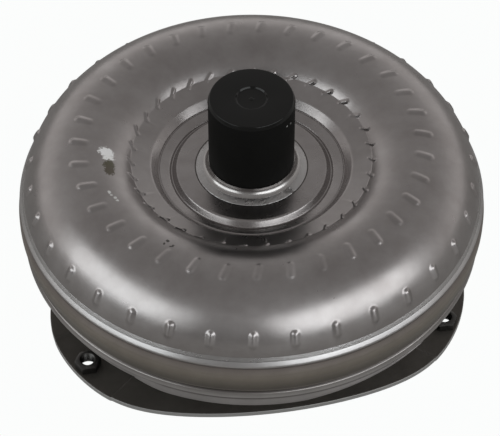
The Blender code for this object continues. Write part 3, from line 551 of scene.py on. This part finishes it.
def plate_material():
    """A dark oiled face, and a bright sheared edge."""
    graph = pressed_steel("plate_steel", (0.075, 0.069, 0.061), (0.115, 0.107, 0.096), 0.42, 0.55)
    axes = graph.tree.nodes.new("ShaderNodeSeparateXYZ")
    coordinate = graph.tree.nodes.new("ShaderNodeTexCoord")
    graph.feed(axes.inputs["Vector"], coordinate.outputs["Normal"])
    edge = graph.remap(graph.math("ABSOLUTE", axes.outputs["Z"]), 0.85, 0.45)
    skin = graph.shader.inputs["Base Color"].links[0].from_socket
    graph.colour(graph.mix(edge, skin, (0.47, 0.465, 0.455)))
    graph.shader.inputs["Metallic"].default_value = 0.75
    return graph.material


def nut_material():
    return pressed_steel("nut_steel", (0.05, 0.048, 0.045), (0.11, 0.108, 0.105), 0.30, 0.42).material


def cap_material(name, specular, roughness):
    """Black moulded plastic, finely grained, with a few scuffs."""
    skin = (0.0045, 0.0045, 0.004)
    graph = Graph(name, skin, roughness, 0.0)
    graph.shader.inputs["Specular IOR Level"].default_value = specular
    smear = graph.noise(60.0, 4.0, 0.6)
    graph.rough(graph.remap(smear, 0.3, 0.7, roughness - 0.04, roughness + 0.04))
    graph.bump(graph.noise(2600.0, 2.0, 0.5), 0.012)
    cloud = graph.remap(graph.noise(25.0, 4.0, 0.6), 0.35, 0.65)
    skin = graph.mix(cloud, skin, (0.0065, 0.0065, 0.006))
    for bearing, depth, size in CAP_SCUFFS:
        scuff = graph.spot((*polar(CAP_RADIUS, bearing), CAP_TOP - depth), size, 0.12)
        skin = graph.mix(scuff, skin, (0.28, 0.28, 0.27))
    graph.colour(skin)
    return graph.material


# ------------------------------------------------------------- impeller shell

EDGE_ANGLE = math.degrees(math.asin((WELD_LEVEL + GAP - MID_PLANE) / OUTER_SECTION))
FINE = 0.55
COARSE = 2.1
CREASE = (CIRCUIT_RADIUS + INNER_SECTION * math.cos(math.radians(CREASE_ANGLE)),
          MID_PLANE + SECTION_SHIFT + INNER_SECTION * math.sin(math.radians(CREASE_ANGLE)))
RING_A = 55.5
CONE_FOOT = (60.3, DISH_LEVEL + 4.75)

# Rings of marks where the blade tabs are pressed in: (radius, level), phase,
# half length, half width, slant, height and the share lost towards the inner end.
MARKS = (
    ((CIRCUIT_RADIUS + OUTER_SECTION * math.cos(math.radians(83.5)),
      MID_PLANE + OUTER_SECTION * math.sin(math.radians(83.5))), 4.65, 6.8, 3.2, 12.5, 1.1, 0.65),
    ((CIRCUIT_RADIUS + OUTER_SECTION * math.cos(math.radians(25.5)),
      MID_PLANE + OUTER_SECTION * math.sin(math.radians(25.5))), 2.95, 6.0, 3.1, 2.0, 1.25, 0.0),
    ((CREASE[0] + 0.6, CREASE[1] + 0.5), 8.55, 4.3, 1.7, 45.0, 0.7, 0.0),
)


def dome_line():
    """Outer side of the shell, from its weld edge in to the hub."""
    high = MID_PLANE + SECTION_SHIFT
    line = []
    for start, end, step in ((EDGE_ANGLE, 19.0, COARSE), (19.0, 38.0, FINE), (38.0, 73.0, COARSE),
                             (73.0, 90.0, FINE)):
        line += arc(CIRCUIT_RADIUS, MID_PLANE, OUTER_SECTION, start, end, step)[:-1]
    for start, end, step in ((90.0, 96.0, FINE), (96.0, 131.0, COARSE), (131.0, CREASE_ANGLE, FINE)):
        line += arc(CIRCUIT_RADIUS, high, INNER_SECTION, start, end, step)[:-1]
    fall = (CREASE[1] - CONE_FOOT[1]) / (CREASE[0] - CONE_FOOT[0])
    cone = []
    for k in range(7):
        cone.append((CREASE[0] - FINE * k, CREASE[1] - FINE * k * fall, 0.0))
    dish = [(*CONE_FOOT, 3.5), (RING_A + 0.5, DISH_LEVEL + 0.3, 0.5),
            (RING_A + 0.2, DISH_LEVEL - 0.45, 0.15), (RING_A - 0.2, DISH_LEVEL - 0.45, 0.15),
            (RING_A - 0.7, DISH_LEVEL - 0.1, 0.5),
            (49.0, DISH_LEVEL - 1.6, 6.0), (47.9, DISH_LEVEL - 3.3, 0.7), (45.0, DISH_LEVEL + 0.67, 2.2),
            (38.0, DISH_LEVEL + 0.7, 0.0), (HUB_FOOT_RADIUS + GAP, DISH_LEVEL + 0.7, 0.0)]
    return line + rounded(cone + dish, 6)


def marks_relief(line):
    """Height of the pressed marks, as a function of a place on the shell."""
    _, _, _, run = section_arrays(line, False)
    points = np.array(line)

    def lift(s, phi, r, z):
        height = np.zeros(np.broadcast(s, phi).shape)
        for (ring_r, ring_z), phase, half_length, half_width, slant, rise, fade in MARKS:
            middle = run[np.argmin(np.hypot(points[:, 0] - ring_r, points[:, 1] - ring_z))]
            pitch = 2.0 * math.pi / BLADES
            turn = (phi - math.radians(phase) + pitch / 2.0) % pitch - pitch / 2.0
            number = np.floor((phi - math.radians(phase)) / pitch + 0.5) % BLADES
            uneven = 1.0 + 0.14 * np.sin(2.4 * number) + 0.08 * np.sin(5.3 * number)
            outward = middle - s + 0.5 * np.sin(3.7 * number)
            share = stadium(turn * ring_r, outward, half_length, half_width, slant)
            inner = np.clip(0.5 - outward / (2.0 * half_length), 0.0, 1.0)
            bulge = rise * uneven * (1.0 - fade * inner) * np.clip(1.0 - share ** 2, 0.0, 1.0) ** 2
            height = np.maximum(height, bulge)
        return np.where(s <= run[len(points) - 1], height, 0.0)

    return lift


def shell_dome(material):
    """The shell: marked outside, plain inside."""
    line = dome_line()
    inner_section = OUTER_SECTION - SHEET
    inner_edge = math.degrees(math.asin((WELD_LEVEL + GAP - MID_PLANE) / inner_section))
    inner = arc(CIRCUIT_RADIUS, MID_PLANE, inner_section, inner_edge, 90.0, INSIDE_STEP)
    inner += arc(CIRCUIT_RADIUS, MID_PLANE + SECTION_SHIFT, INNER_SECTION - SHEET,
                 90.0, CREASE_ANGLE, INSIDE_STEP)[1:]
    inner += [(58.5, DISH_LEVEL - 3.4), (48.0, DISH_LEVEL - HUB_FOOT_DEPTH),
              (HUB_FOOT_RADIUS + GAP, DISH_LEVEL - HUB_FOOT_DEPTH)]
    section = line + inner[::-1]
    dome = turned("shell_dome", section, STEPS, relief=marks_relief(line), sharp=60.0)
    place(dome, "housing", "shell_steel", material, "impeller_shell")


def spatter_lumps():
    """Places, reach and height of the weld spatter, scattered round one bearing of the bead."""
    draw = random.Random(SPATTER_SEED)
    middle = (HUB_FOOT_RADIUS + WELD_TOE) / 2.0 - 1.0
    lumps = []
    for index in range(SPATTER_COUNT):
        size = 1.0 - 0.7 * index / SPATTER_COUNT
        spread = SPATTER_SPREAD * (1.2 - size)
        x, y = polar(middle, SPATTER_BEARING)
        lumps.append((x + draw.gauss(0.0, spread), y + draw.gauss(0.0, spread),
                      SPATTER_REACH * size, SPATTER_RISE * size))
    return lumps


def hub_neck(material):
    """The hub: a bored neck with a drive slot, and a flared foot."""
    flare = arc(NECK_RADIUS + FLARE_RADIUS, DISH_LEVEL + FLARE_RISE, FLARE_RADIUS, 180.0, 253.0, 0.5)
    shoulder = CAP_BOTTOM - GAP
    section = rounded([(HUB_BORE, HUB_TOP, 0.0), (HUB_BORE + 0.8, HUB_TOP, 0.0),
                       (HUB_RADIUS, HUB_TOP, 1.2), (HUB_RADIUS, shoulder, 0.3),
                       (NECK_RADIUS, shoulder, 0.3)])
    section += flare[1:]
    section += [(HUB_FOOT_RADIUS, DISH_LEVEL + 1.0), (HUB_FOOT_RADIUS, HUB_FOOT), (HUB_BORE, HUB_FOOT)]
    neck = turned("hub_neck", section, 240)
    slot = block((3.0 * HUB_RADIUS, DRIVE_SLOT_WIDTH, 2.0 * DRIVE_SLOT_DEPTH), (0.0, 0.0, HUB_TOP))
    shade(cut(neck, [slot]))
    place(neck, "housing", "hub_steel", material, "impeller_hub")


def weld_lumps(run, phi, r, z):
    """Uneven height of the hub weld, with a cluster of spatter on it."""
    height = np.zeros(np.broadcast(run, phi).shape)
    for order, size, start in ((23, 0.05, 0.3), (57, 0.04, 1.1), (101, 0.03, 2.0)):
        height = height + size * np.sin(order * phi + start + 0.9 * r) * np.sin(1.7 * r + start)
    x = r * np.cos(phi)
    y = r * np.sin(phi)
    for lump_x, lump_y, reach, rise in spatter_lumps():
        away = np.hypot(x - lump_x, y - lump_y) / reach
        height = np.maximum(height, rise * np.clip(1.0 - away ** 2, 0.0, 1.0) ** 0.6)
    return np.where(z > z.min() + 0.05, height, 0.0)


def hub_bead(material):
    """The weld round the hub's foot, with its spatter."""
    seat = DISH_LEVEL + 0.75
    inner = HUB_FOOT_RADIUS - 0.4
    top = []
    for k in range(BEAD_STEPS + 1):
        share = k / BEAD_STEPS
        top.append((inner + (BEAD_RADIUS - inner) * share, seat + 0.2 + 1.3 * (1.0 - share ** 1.3)))
    section = top + [(33.35, seat), (inner, seat)]
    bead = turned("hub_bead", section, 900, relief=weld_lumps)
    place(bead, "housing", "weld_steel", material, "hub_weld")


def cap_moulding(side, top):
    """The cap: a grained side, and a polished top down to the foot of its bevel."""
    section = [(0.0, CAP_TOP - 0.9, 0.0), (0.9, CAP_TOP - 0.95, 0.4), (1.5, CAP_TOP - 1.3, 0.4),
               (8.6, CAP_TOP - 1.3, 1.0), (9.5, CAP_TOP, 0.4), (CAP_RADIUS - 1.0, CAP_TOP, 0.7),
               (CAP_RADIUS, CAP_TOP - CAP_BEVEL, 0.3), (CAP_RADIUS, CAP_BOTTOM, 0.4), 
               (HUB_RADIUS + GAP, CAP_BOTTOM, 0.3), (HUB_RADIUS + GAP, HUB_TOP + GAP, 0.8),
               (0.0, HUB_TOP + GAP, 0.0)]
    cap = turned("cap_moulding", rounded(section, 6), 240, closed=False)
    place(cap, "cap", "cap_plastic", side, "hub_cap")
    cap.data.materials.append(top)
    for face in cap.data.polygons:
        if face.center.z > (CAP_TOP - CAP_BEVEL) * MM and face.normal.z > 0.0:
            face.material_index = 1


# ------------------------------------------------------ cover and flange plate

def cover_pressing(material):
    """The front cover: a bulge, a groove and a lip, with a plain inner side."""
    edge = top_of("front_cover") - WELD_DROP
    wall = STRIP_TOP + 1.2
    behind = STRIP_RADIUS - 2.4
    groove = STRIP_TOP + 7.0
    outside = [(GIRTH_RADIUS, edge, 0.0), (140.3, edge - 2.6, 1.6), (139.5, MID_PLANE - 0.8, 1.5),
               (BODY_RADIUS, MID_PLANE - 4.7, 7.0), (BODY_RADIUS, MID_PLANE - 10.7, 9.0),
               (139.3, groove + 2.9, 0.5), (139.2, groove + 1.6, 0.5), (136.6, groove + 1.0, 0.4),
               (136.7, groove - 1.1, 0.8), (138.3, groove - 2.1, 1.0), (139.2, groove - 5.1, 0.9),
               (138.9, wall, 0.4), (behind, wall - 0.4, 0.4), (behind, STRIP_BOTTOM + 0.6, 1.5),
               (106.5, COVER_BOTTOM + 1.0, 4.0), (101.0, COVER_BOTTOM, 3.0), (0.0, COVER_BOTTOM, 0.0)]
    inside = [(0.0, COVER_BOTTOM + 4.0), (102.0, COVER_BOTTOM + 4.0), (130.8, STRIP_BOTTOM + 2.0),
              (COVER_BORE, STRIP_BOTTOM + 12.0), (COVER_BORE, edge)]
    cover = turned("cover_pressing", inside + rounded(outside, 6), 360, closed=False)
    place(cover, "housing", "cover_steel", material, "front_cover")


def girth_bead(material):
    """The thin weld between the shell and the cover."""
    low = bottom_of("girth_weld") - WELD_DROP
    section = rounded([(137.1, WELD_LEVEL + 0.25, 0.0), (137.4, WELD_LEVEL + 0.2, 0.15),
                       (GIRTH_RADIUS, low, 0.0), (COVER_BORE, low, 0.0),
                       (COVER_BORE, WELD_LEVEL - 0.2, 0.0)], 8)
    bead = turned("girth_bead", section, STEPS)
    place(bead, "housing", "weld_steel", material, "girth_weld")


def rim_strip(index, material):
    """A lip strip: it sinks into the cover at one end, and thins to a rounded tip at the other."""
    middle = LOBE_PHASE + 180.0 / LOBE_COUNT + 360.0 / LOBE_COUNT * index
    height = STRIP_TOP - STRIP_BOTTOM
    # Depth behind the strip's face, and level as a share of its height.
    section = rounded([(-2.0, 0.95, 0.0), (-1.0, 0.92, 0.2), (0.0, 0.3, 1.0), (-0.1, 0.0, 0.3),
                       (-2.0, 0.0, 0.0)])
    steps = 240
    bm = bmesh.new()
    rings = []
    for k in range(steps + 1):
        share = 2.0 * k / steps - 1.0
        turn = middle + STRIP_HALF_ANGLE * share
        sunk = max(0.0, 1.0 - (share + 1.0) * STRIP_HALF_ANGLE / STRIP_TAPER)
        to_tip = (1.0 - share) * STRIP_HALF_ANGLE
        past = max(0.0, 1.0 - to_tip / STRIP_ROUNDING)
        squeeze = math.sqrt(max(0.0, 1.0 - past ** 3)) * 0.7 + 0.3
        runout = STRIP_RUNOUT_SHARE * max(0.0, 1.0 - to_tip / STRIP_RUNOUT) ** 0.8
        ring = []
        for depth, level in section:
            radius = STRIP_RADIUS + depth - STRIP_TIP_FALL * past ** 2 - STRIP_SINK * sunk ** 1.5
            x, y = polar(radius, turn)
            raised = runout + level * (1.0 - runout)
            z = STRIP_BOTTOM + height * (0.5 + (raised - 0.5) * squeeze)
            ring.append(bm.verts.new((x * MM, y * MM, z * MM)))
        rings.append(ring)
    count = len(section)
    for first, second in zip(rings, rings[1:]):
        for k in range(count):
            bm.faces.new((first[k], first[(k + 1) % count], second[(k + 1) % count], second[k]))
    bm.faces.new(rings[0])
    bm.faces.new(rings[-1][::-1])
    bmesh.ops.recalc_face_normals(bm, faces=bm.faces)
    strip = shade(mesh_object("lip_strip_%d" % (index + 1), bm))
    place(strip, "housing", "cover_steel", material, "rim_strip_%d" % (index + 1))


def plate_radius(degrees):
    """Outline of the flange plate: lobes on a circle, joined by shallow arcs."""
    pitch = 360.0 / LOBE_COUNT
    from_lobe = (degrees - LOBE_PHASE + pitch / 2.0) % pitch - pitch / 2.0
    from_side = math.radians(pitch / 2.0 - abs(from_lobe))
    centre = SIDE_ARC_RADIUS - SIDE_DISTANCE
    reach = math.sqrt(SIDE_ARC_RADIUS ** 2 - (centre * math.sin(from_side)) ** 2)
    side = reach - centre * math.cos(from_side)
    power = 24.0
    return (side ** -power + LOBE_RADIUS ** -power) ** (-1.0 / power)


def eased(value, low, high):
    """0 below low, 1 above high and a smooth step between them."""
    t = np.clip((value - low) / (high - low), 0.0, 1.0)
    return t * t * (3.0 - 2.0 * t)


def pad_drop(phi, radius):
    """How far the pads round the nuts are set towards the crank."""
    pitch = 2.0 * math.pi / LOBE_COUNT
    turn = np.abs((phi - math.radians(LOBE_PHASE) + pitch / 2.0) % pitch - pitch / 2.0)
    edge = math.radians(PAD_HALF_ANGLE)
    across = 1.0 - eased(turn, edge - PAD_EASE, edge + PAD_EASE)
    return PAD_DROP * across * eased(radius, PAD_RADIUS - 1.5, PAD_RADIUS + 0.5)


def flange_sheet(material):
    """The flange plate, with its pads set down and its holes cut."""
    steps = 960
    inner = PILOT_FLANGE_RADIUS + GAP
    phi = np.arange(steps) * 2.0 * math.pi / steps
    outline = np.array([plate_radius(math.degrees(p)) for p in phi])
    fixed = (inner, 60.0, 96.0, 103.5, 104.5, 105.2, 106.0, 107.5, 112.0)
    rows = [(np.full(steps, radius), 0.0) for radius in fixed]
    rows += [(outline - 1.2, 0.0), (outline - 0.45, 0.0), (outline - 0.2, 0.08), (outline - 0.05, 0.3)]
    top = [(radius, PLATE_TOP - fall) for radius, fall in rows]
    bottom = [(radius, PLATE_BOTTOM + fall) for radius, fall in rows[::-1]]
    layers = top + bottom
    grid = np.zeros((len(layers), steps, 3))
    for row, (radius, level) in enumerate(layers):
        grid[row, :, 0] = radius * np.cos(phi)
        grid[row, :, 1] = radius * np.sin(phi)
        grid[row, :, 2] = level - pad_drop(phi, radius)
    sheet = grid_object("flange_sheet", grid, True)
    holes = []
    for index in range(LOBE_COUNT):
        x, y = polar(NUT_CIRCLE, LOBE_PHASE + 360.0 / LOBE_COUNT * index)
        holes.append(bar(PLATE_HOLE, PLATE_BOTTOM - 3.0, PLATE_TOP + 3.0, 64, x, y))
    shade(cut(sheet, holes), 30.0)
    place(sheet, "housing", "plate_steel", material, "flange_plate")


def threaded_core(radius, depth, pitch, bottom, top, x, y):
    """A cutting tool with a screw thread, for a tapped hole."""
    steps = 36
    levels = np.arange(bottom, top + pitch / 8.0, pitch / 6.0)
    phi = np.arange(steps) * 2.0 * math.pi / steps
    wave = (levels[:, None] / pitch - phi[None, :] / (2.0 * math.pi)) % 1.0
    reach = radius + depth * (1.0 - 2.0 * np.abs(wave - 0.5))
    body = np.stack((x + reach * np.cos(phi), y + reach * np.sin(phi), levels[:, None] + 0.0 * phi), 2)
    low = np.broadcast_to((x, y, bottom), (1, steps, 3))
    high = np.broadcast_to((x, y, levels[-1]), (1, steps, 3))
    return grid_object("tool", np.concatenate((low, body, high)), False)


def nut(index, material):
    """A weld nut: a chamfered hexagon with a tapped hole."""
    angle = LOBE_PHASE + 360.0 / LOBE_COUNT * index
    name = "weld_nut_%d" % (index + 1)
    x, y = polar(NUT_CIRCLE, angle)
    bottom = bottom_of(name)
    top = top_of(name)
    corner = NUT_ACROSS_FLATS / math.sqrt(3.0)
    slope = math.tan(math.radians(NUT_CHAMFER))
    reach = corner + 1.0
    body = bar(corner, bottom, top, 6, x, y, angle)
    body.name = "hex_nut_%d" % (index + 1)
    cone = turned("tool", [(0.0, top), (NUT_COLLAR, top), (reach, top - (reach - NUT_COLLAR) * slope),
                           (reach, bottom + 0.4), (reach - 0.8, bottom), (0.0, bottom)], 72, closed=False)
    cone.location = (x * MM, y * MM, 0.0)
    cut(body, [cone], "INTERSECT")
    mouth = turned("tool", [(0.0, top + 0.5), (NUT_BORE + 1.1, top + 0.5), (NUT_BORE - 0.4, top - 1.0),
                            (0.0, top - 1.0)], 48, closed=False)
    mouth.location = (x * MM, y * MM, 0.0)
    core = threaded_core(NUT_BORE - 0.45, THREAD_DEPTH, THREAD_PITCH, bottom - 1.0, top + 1.0, x, y)
    shade(cut(body, [mouth, core]))
    place(body, "housing", "nut_steel", material, name)


def pilot_nose(material):
    """The crank pilot, with a centre hole in its end."""
    section = rounded([(0.0, PLATE_TOP, 0.0), (PILOT_FLANGE_RADIUS, PLATE_TOP, 0.3),
                       (PILOT_FLANGE_RADIUS, PLATE_BOTTOM + 0.2, 0.4),
                       (PILOT_RADIUS, PLATE_BOTTOM - 0.2, 0.5), (PILOT_RADIUS, 0.0, 1.5),
                       (9.0, 0.0, 0.2), (8.0, 1.0, 0.2), (0.0, 1.6, 0.0)])
    nose = turned("pilot_nose", section, 192, closed=False)
    place(nose, "housing", "hub_steel", material, "crank_pilot")


# ------------------------------------------------------------ inner CAD nodes

# Dark and light tone, and lowest and highest roughness, of each slot that nodes still show.
SLOT_LOOKS = {
    "hub_steel": ((0.42, 0.405, 0.39), (0.56, 0.55, 0.54), 0.18, 0.30),
    "sheet_steel": ((0.38, 0.365, 0.35), (0.50, 0.49, 0.475), 0.26, 0.38),
    "cast_aluminium": ((0.55, 0.55, 0.56), (0.70, 0.70, 0.71), 0.34, 0.48),
    "bearing_steel": ((0.52, 0.52, 0.53), (0.64, 0.64, 0.65), 0.12, 0.22),
    "spring_steel": ((0.22, 0.22, 0.25), (0.34, 0.34, 0.38), 0.20, 0.32),
    "lining_paper": ((0.10, 0.065, 0.04), (0.17, 0.115, 0.07), 0.75, 0.9),
    "seal_rubber": ((0.012, 0.012, 0.012), (0.025, 0.025, 0.025), 0.45, 0.6),
}
NOT_METAL = ("lining_paper", "seal_rubber")


def dress_inner_nodes():
    """Give each CAD node that still shows the finish of its slot."""
    finishes = {}
    for slot, (dark, light, low, high) in SLOT_LOOKS.items():
        finishes[slot] = pressed_steel("inner_" + slot, dark, light, low, high)
        if slot in NOT_METAL:
            finishes[slot].shader.inputs["Metallic"].default_value = 0.0
    slots = {row["node"]: row["material_slot"] for row in frame["record"]["subparts"]}
    for name, obj in frame["nodes"].items():
        if not obj.hide_render:
            obj.data.materials.clear()
            obj.data.materials.append(finishes[slots[name]].material)


# ---------------------------------------------------------- studio and camera

CAMERA_TARGET = Vector((0.0, 0.0, DISH_LEVEL * MM))
CAMERA_DISTANCE = 1.2821
CAMERA_ELEVATION = 45.83
CAMERA_PITCH = 47.22
CAMERA_YAW = 0.057
LENS = 153.95
SENSOR_WIDTH = 36.0

FLOOR_HALF_SIZE = 3.0
FLOOR_DROP = 0.0005
SOFTBOX_DISTANCE = 1.5
SOFTBOX_HEIGHT = 0.86

# Brightness of the room, by the sine of the elevation.
ROOM_FRONT = ((0.0, 0.20), (0.56, 0.26), (0.81, 0.30), (1.0, 0.29))
ROOM_BACK = ((0.0, 0.85), (0.3, 0.68), (0.50, 0.42), (0.75, 0.37), (1.0, 0.29))


def softbox(name, azimuth, elevation, width, power, colour):
    """An area light that faces the camera's target."""
    light = bpy.data.lights.new(name, "AREA")
    light.shape = "RECTANGLE"
    light.size = width
    light.size_y = SOFTBOX_HEIGHT
    light.energy = power
    light.color = colour
    obj = link(bpy.data.objects.new(name, light))
    turn = math.radians(azimuth)
    rise = math.radians(elevation)
    direction = Vector((math.cos(turn) * math.cos(rise), math.sin(turn) * math.cos(rise), math.sin(rise)))
    obj.location = CAMERA_TARGET + direction * SOFTBOX_DISTANCE
    obj.rotation_euler = direction.to_track_quat("Z", "Y").to_euler()


def studio_world():
    """A dim room with a pale sweep behind; the camera itself sees a white backdrop."""
    world = bpy.data.worlds.new("studio")
    bpy.context.scene.world = world
    world.use_nodes = True
    nodes = world.node_tree.nodes
    links = world.node_tree.links
    room = nodes["Background"]
    coordinate = nodes.new("ShaderNodeTexCoord")
    axes = nodes.new("ShaderNodeSeparateXYZ")
    links.new(coordinate.outputs["Generated"], axes.inputs["Vector"])
    front = nodes.new("ShaderNodeValToRGB")
    back = nodes.new("ShaderNodeValToRGB")
    for ramp, stops in ((front, ROOM_FRONT), (back, ROOM_BACK)):
        while len(ramp.color_ramp.elements) < len(stops):
            ramp.color_ramp.elements.new(1.0)
        for element, (position, tone) in zip(ramp.color_ramp.elements, stops):
            element.position = position
            element.color = (tone, tone * 0.975, tone * 0.965, 1.0)
        links.new(axes.outputs["Z"], ramp.inputs["Fac"])
    side = nodes.new("ShaderNodeMapRange")
    side.inputs["From Min"].default_value = -0.45
    side.inputs["From Max"].default_value = 0.40
    links.new(axes.outputs["Y"], side.inputs["Value"])
    blend = nodes.new("ShaderNodeMix")
    blend.data_type = "RGBA"
    links.new(side.outputs["Result"], blend.inputs["Factor"])
    links.new(front.outputs["Color"], blend.inputs["A"])
    links.new(back.outputs["Color"], blend.inputs["B"])
    links.new(blend.outputs["Result"], room.inputs["Color"])
    backdrop = nodes.new("ShaderNodeBackground")
    backdrop.inputs["Color"].default_value = (0.96, 0.97, 0.965, 1.0)
    path = nodes.new("ShaderNodeLightPath")
    choice = nodes.new("ShaderNodeMixShader")
    links.new(path.outputs["Is Camera Ray"], choice.inputs["Fac"])
    links.new(room.outputs["Background"], choice.inputs[1])
    links.new(backdrop.outputs["Background"], choice.inputs[2])
    links.new(choice.outputs["Shader"], nodes["World Output"].inputs["Surface"])


def studio_floor():
    """A matt floor, which the camera itself sees as evenly pale."""
    bm = bmesh.new()
    bmesh.ops.create_grid(bm, x_segments=1, y_segments=1, size=FLOOR_HALF_SIZE)
    floor = mesh_object("studio_floor", bm)
    floor.location.z = -FLOOR_DROP
    material = bpy.data.materials.new("studio_floor")
    material.use_nodes = True
    nodes = material.node_tree.nodes
    links = material.node_tree.links
    shader = nodes["Principled BSDF"]
    shader.inputs["Base Color"].default_value = (0.45, 0.44, 0.425, 1.0)
    shader.inputs["Roughness"].default_value = 0.9
    glow = nodes.new("ShaderNodeEmission")
    glow.inputs["Color"].default_value = (0.97, 0.98, 0.975, 1.0)
    path = nodes.new("ShaderNodeLightPath")
    choice = nodes.new("ShaderNodeMixShader")
    links.new(path.outputs["Is Camera Ray"], choice.inputs["Fac"])
    links.new(shader.outputs["BSDF"], choice.inputs[1])
    links.new(glow.outputs["Emission"], choice.inputs[2])
    links.new(choice.outputs["Shader"], nodes["Material Output"].inputs["Surface"])
    floor.data.materials.append(material)


def photo_camera():
    data = bpy.data.cameras.new("photo_camera")
    data.lens = LENS
    data.sensor_width = SENSOR_WIDTH
    camera = link(bpy.data.objects.new("photo_camera", data))
    rise = math.radians(CAMERA_ELEVATION)
    camera.location = CAMERA_TARGET + CAMERA_DISTANCE * Vector((0.0, -math.cos(rise), math.sin(rise)))
    camera.rotation_euler = (math.radians(90.0 - CAMERA_PITCH), 0.0, math.radians(CAMERA_YAW))
    bpy.context.scene.camera = camera


def build():
    shell = shell_material()
    cover = cover_material()
    weld = weld_material()
    hub = hub_material()
    plate = plate_material()
    nuts = nut_material()
    cap_side = cap_material("cap_side", 0.10, 0.6)
    cap_top = cap_material("cap_top", 0.28, 0.12)
    shell_dome(shell)
    hub_neck(hub)
    hub_bead(weld)
    cap_moulding(cap_side, cap_top)
    cover_pressing(cover)
    girth_bead(weld)
    flange_sheet(plate)
    pilot_nose(hub)
    for index in range(LOBE_COUNT):
        rim_strip(index, cover)
        nut(index, nuts)
    dress_inner_nodes()
    studio_world()
    studio_floor()
    softbox("left_softbox", -151.0, 23.5, 1.6, 7.8, (0.93, 0.98, 1.0))
    softbox("right_softbox", -44.5, 25.0, 1.8, 10.6, (0.945, 0.98, 1.0))
    photo_camera()


build()
bpy.context.scene.view_settings.view_transform = "Standard"
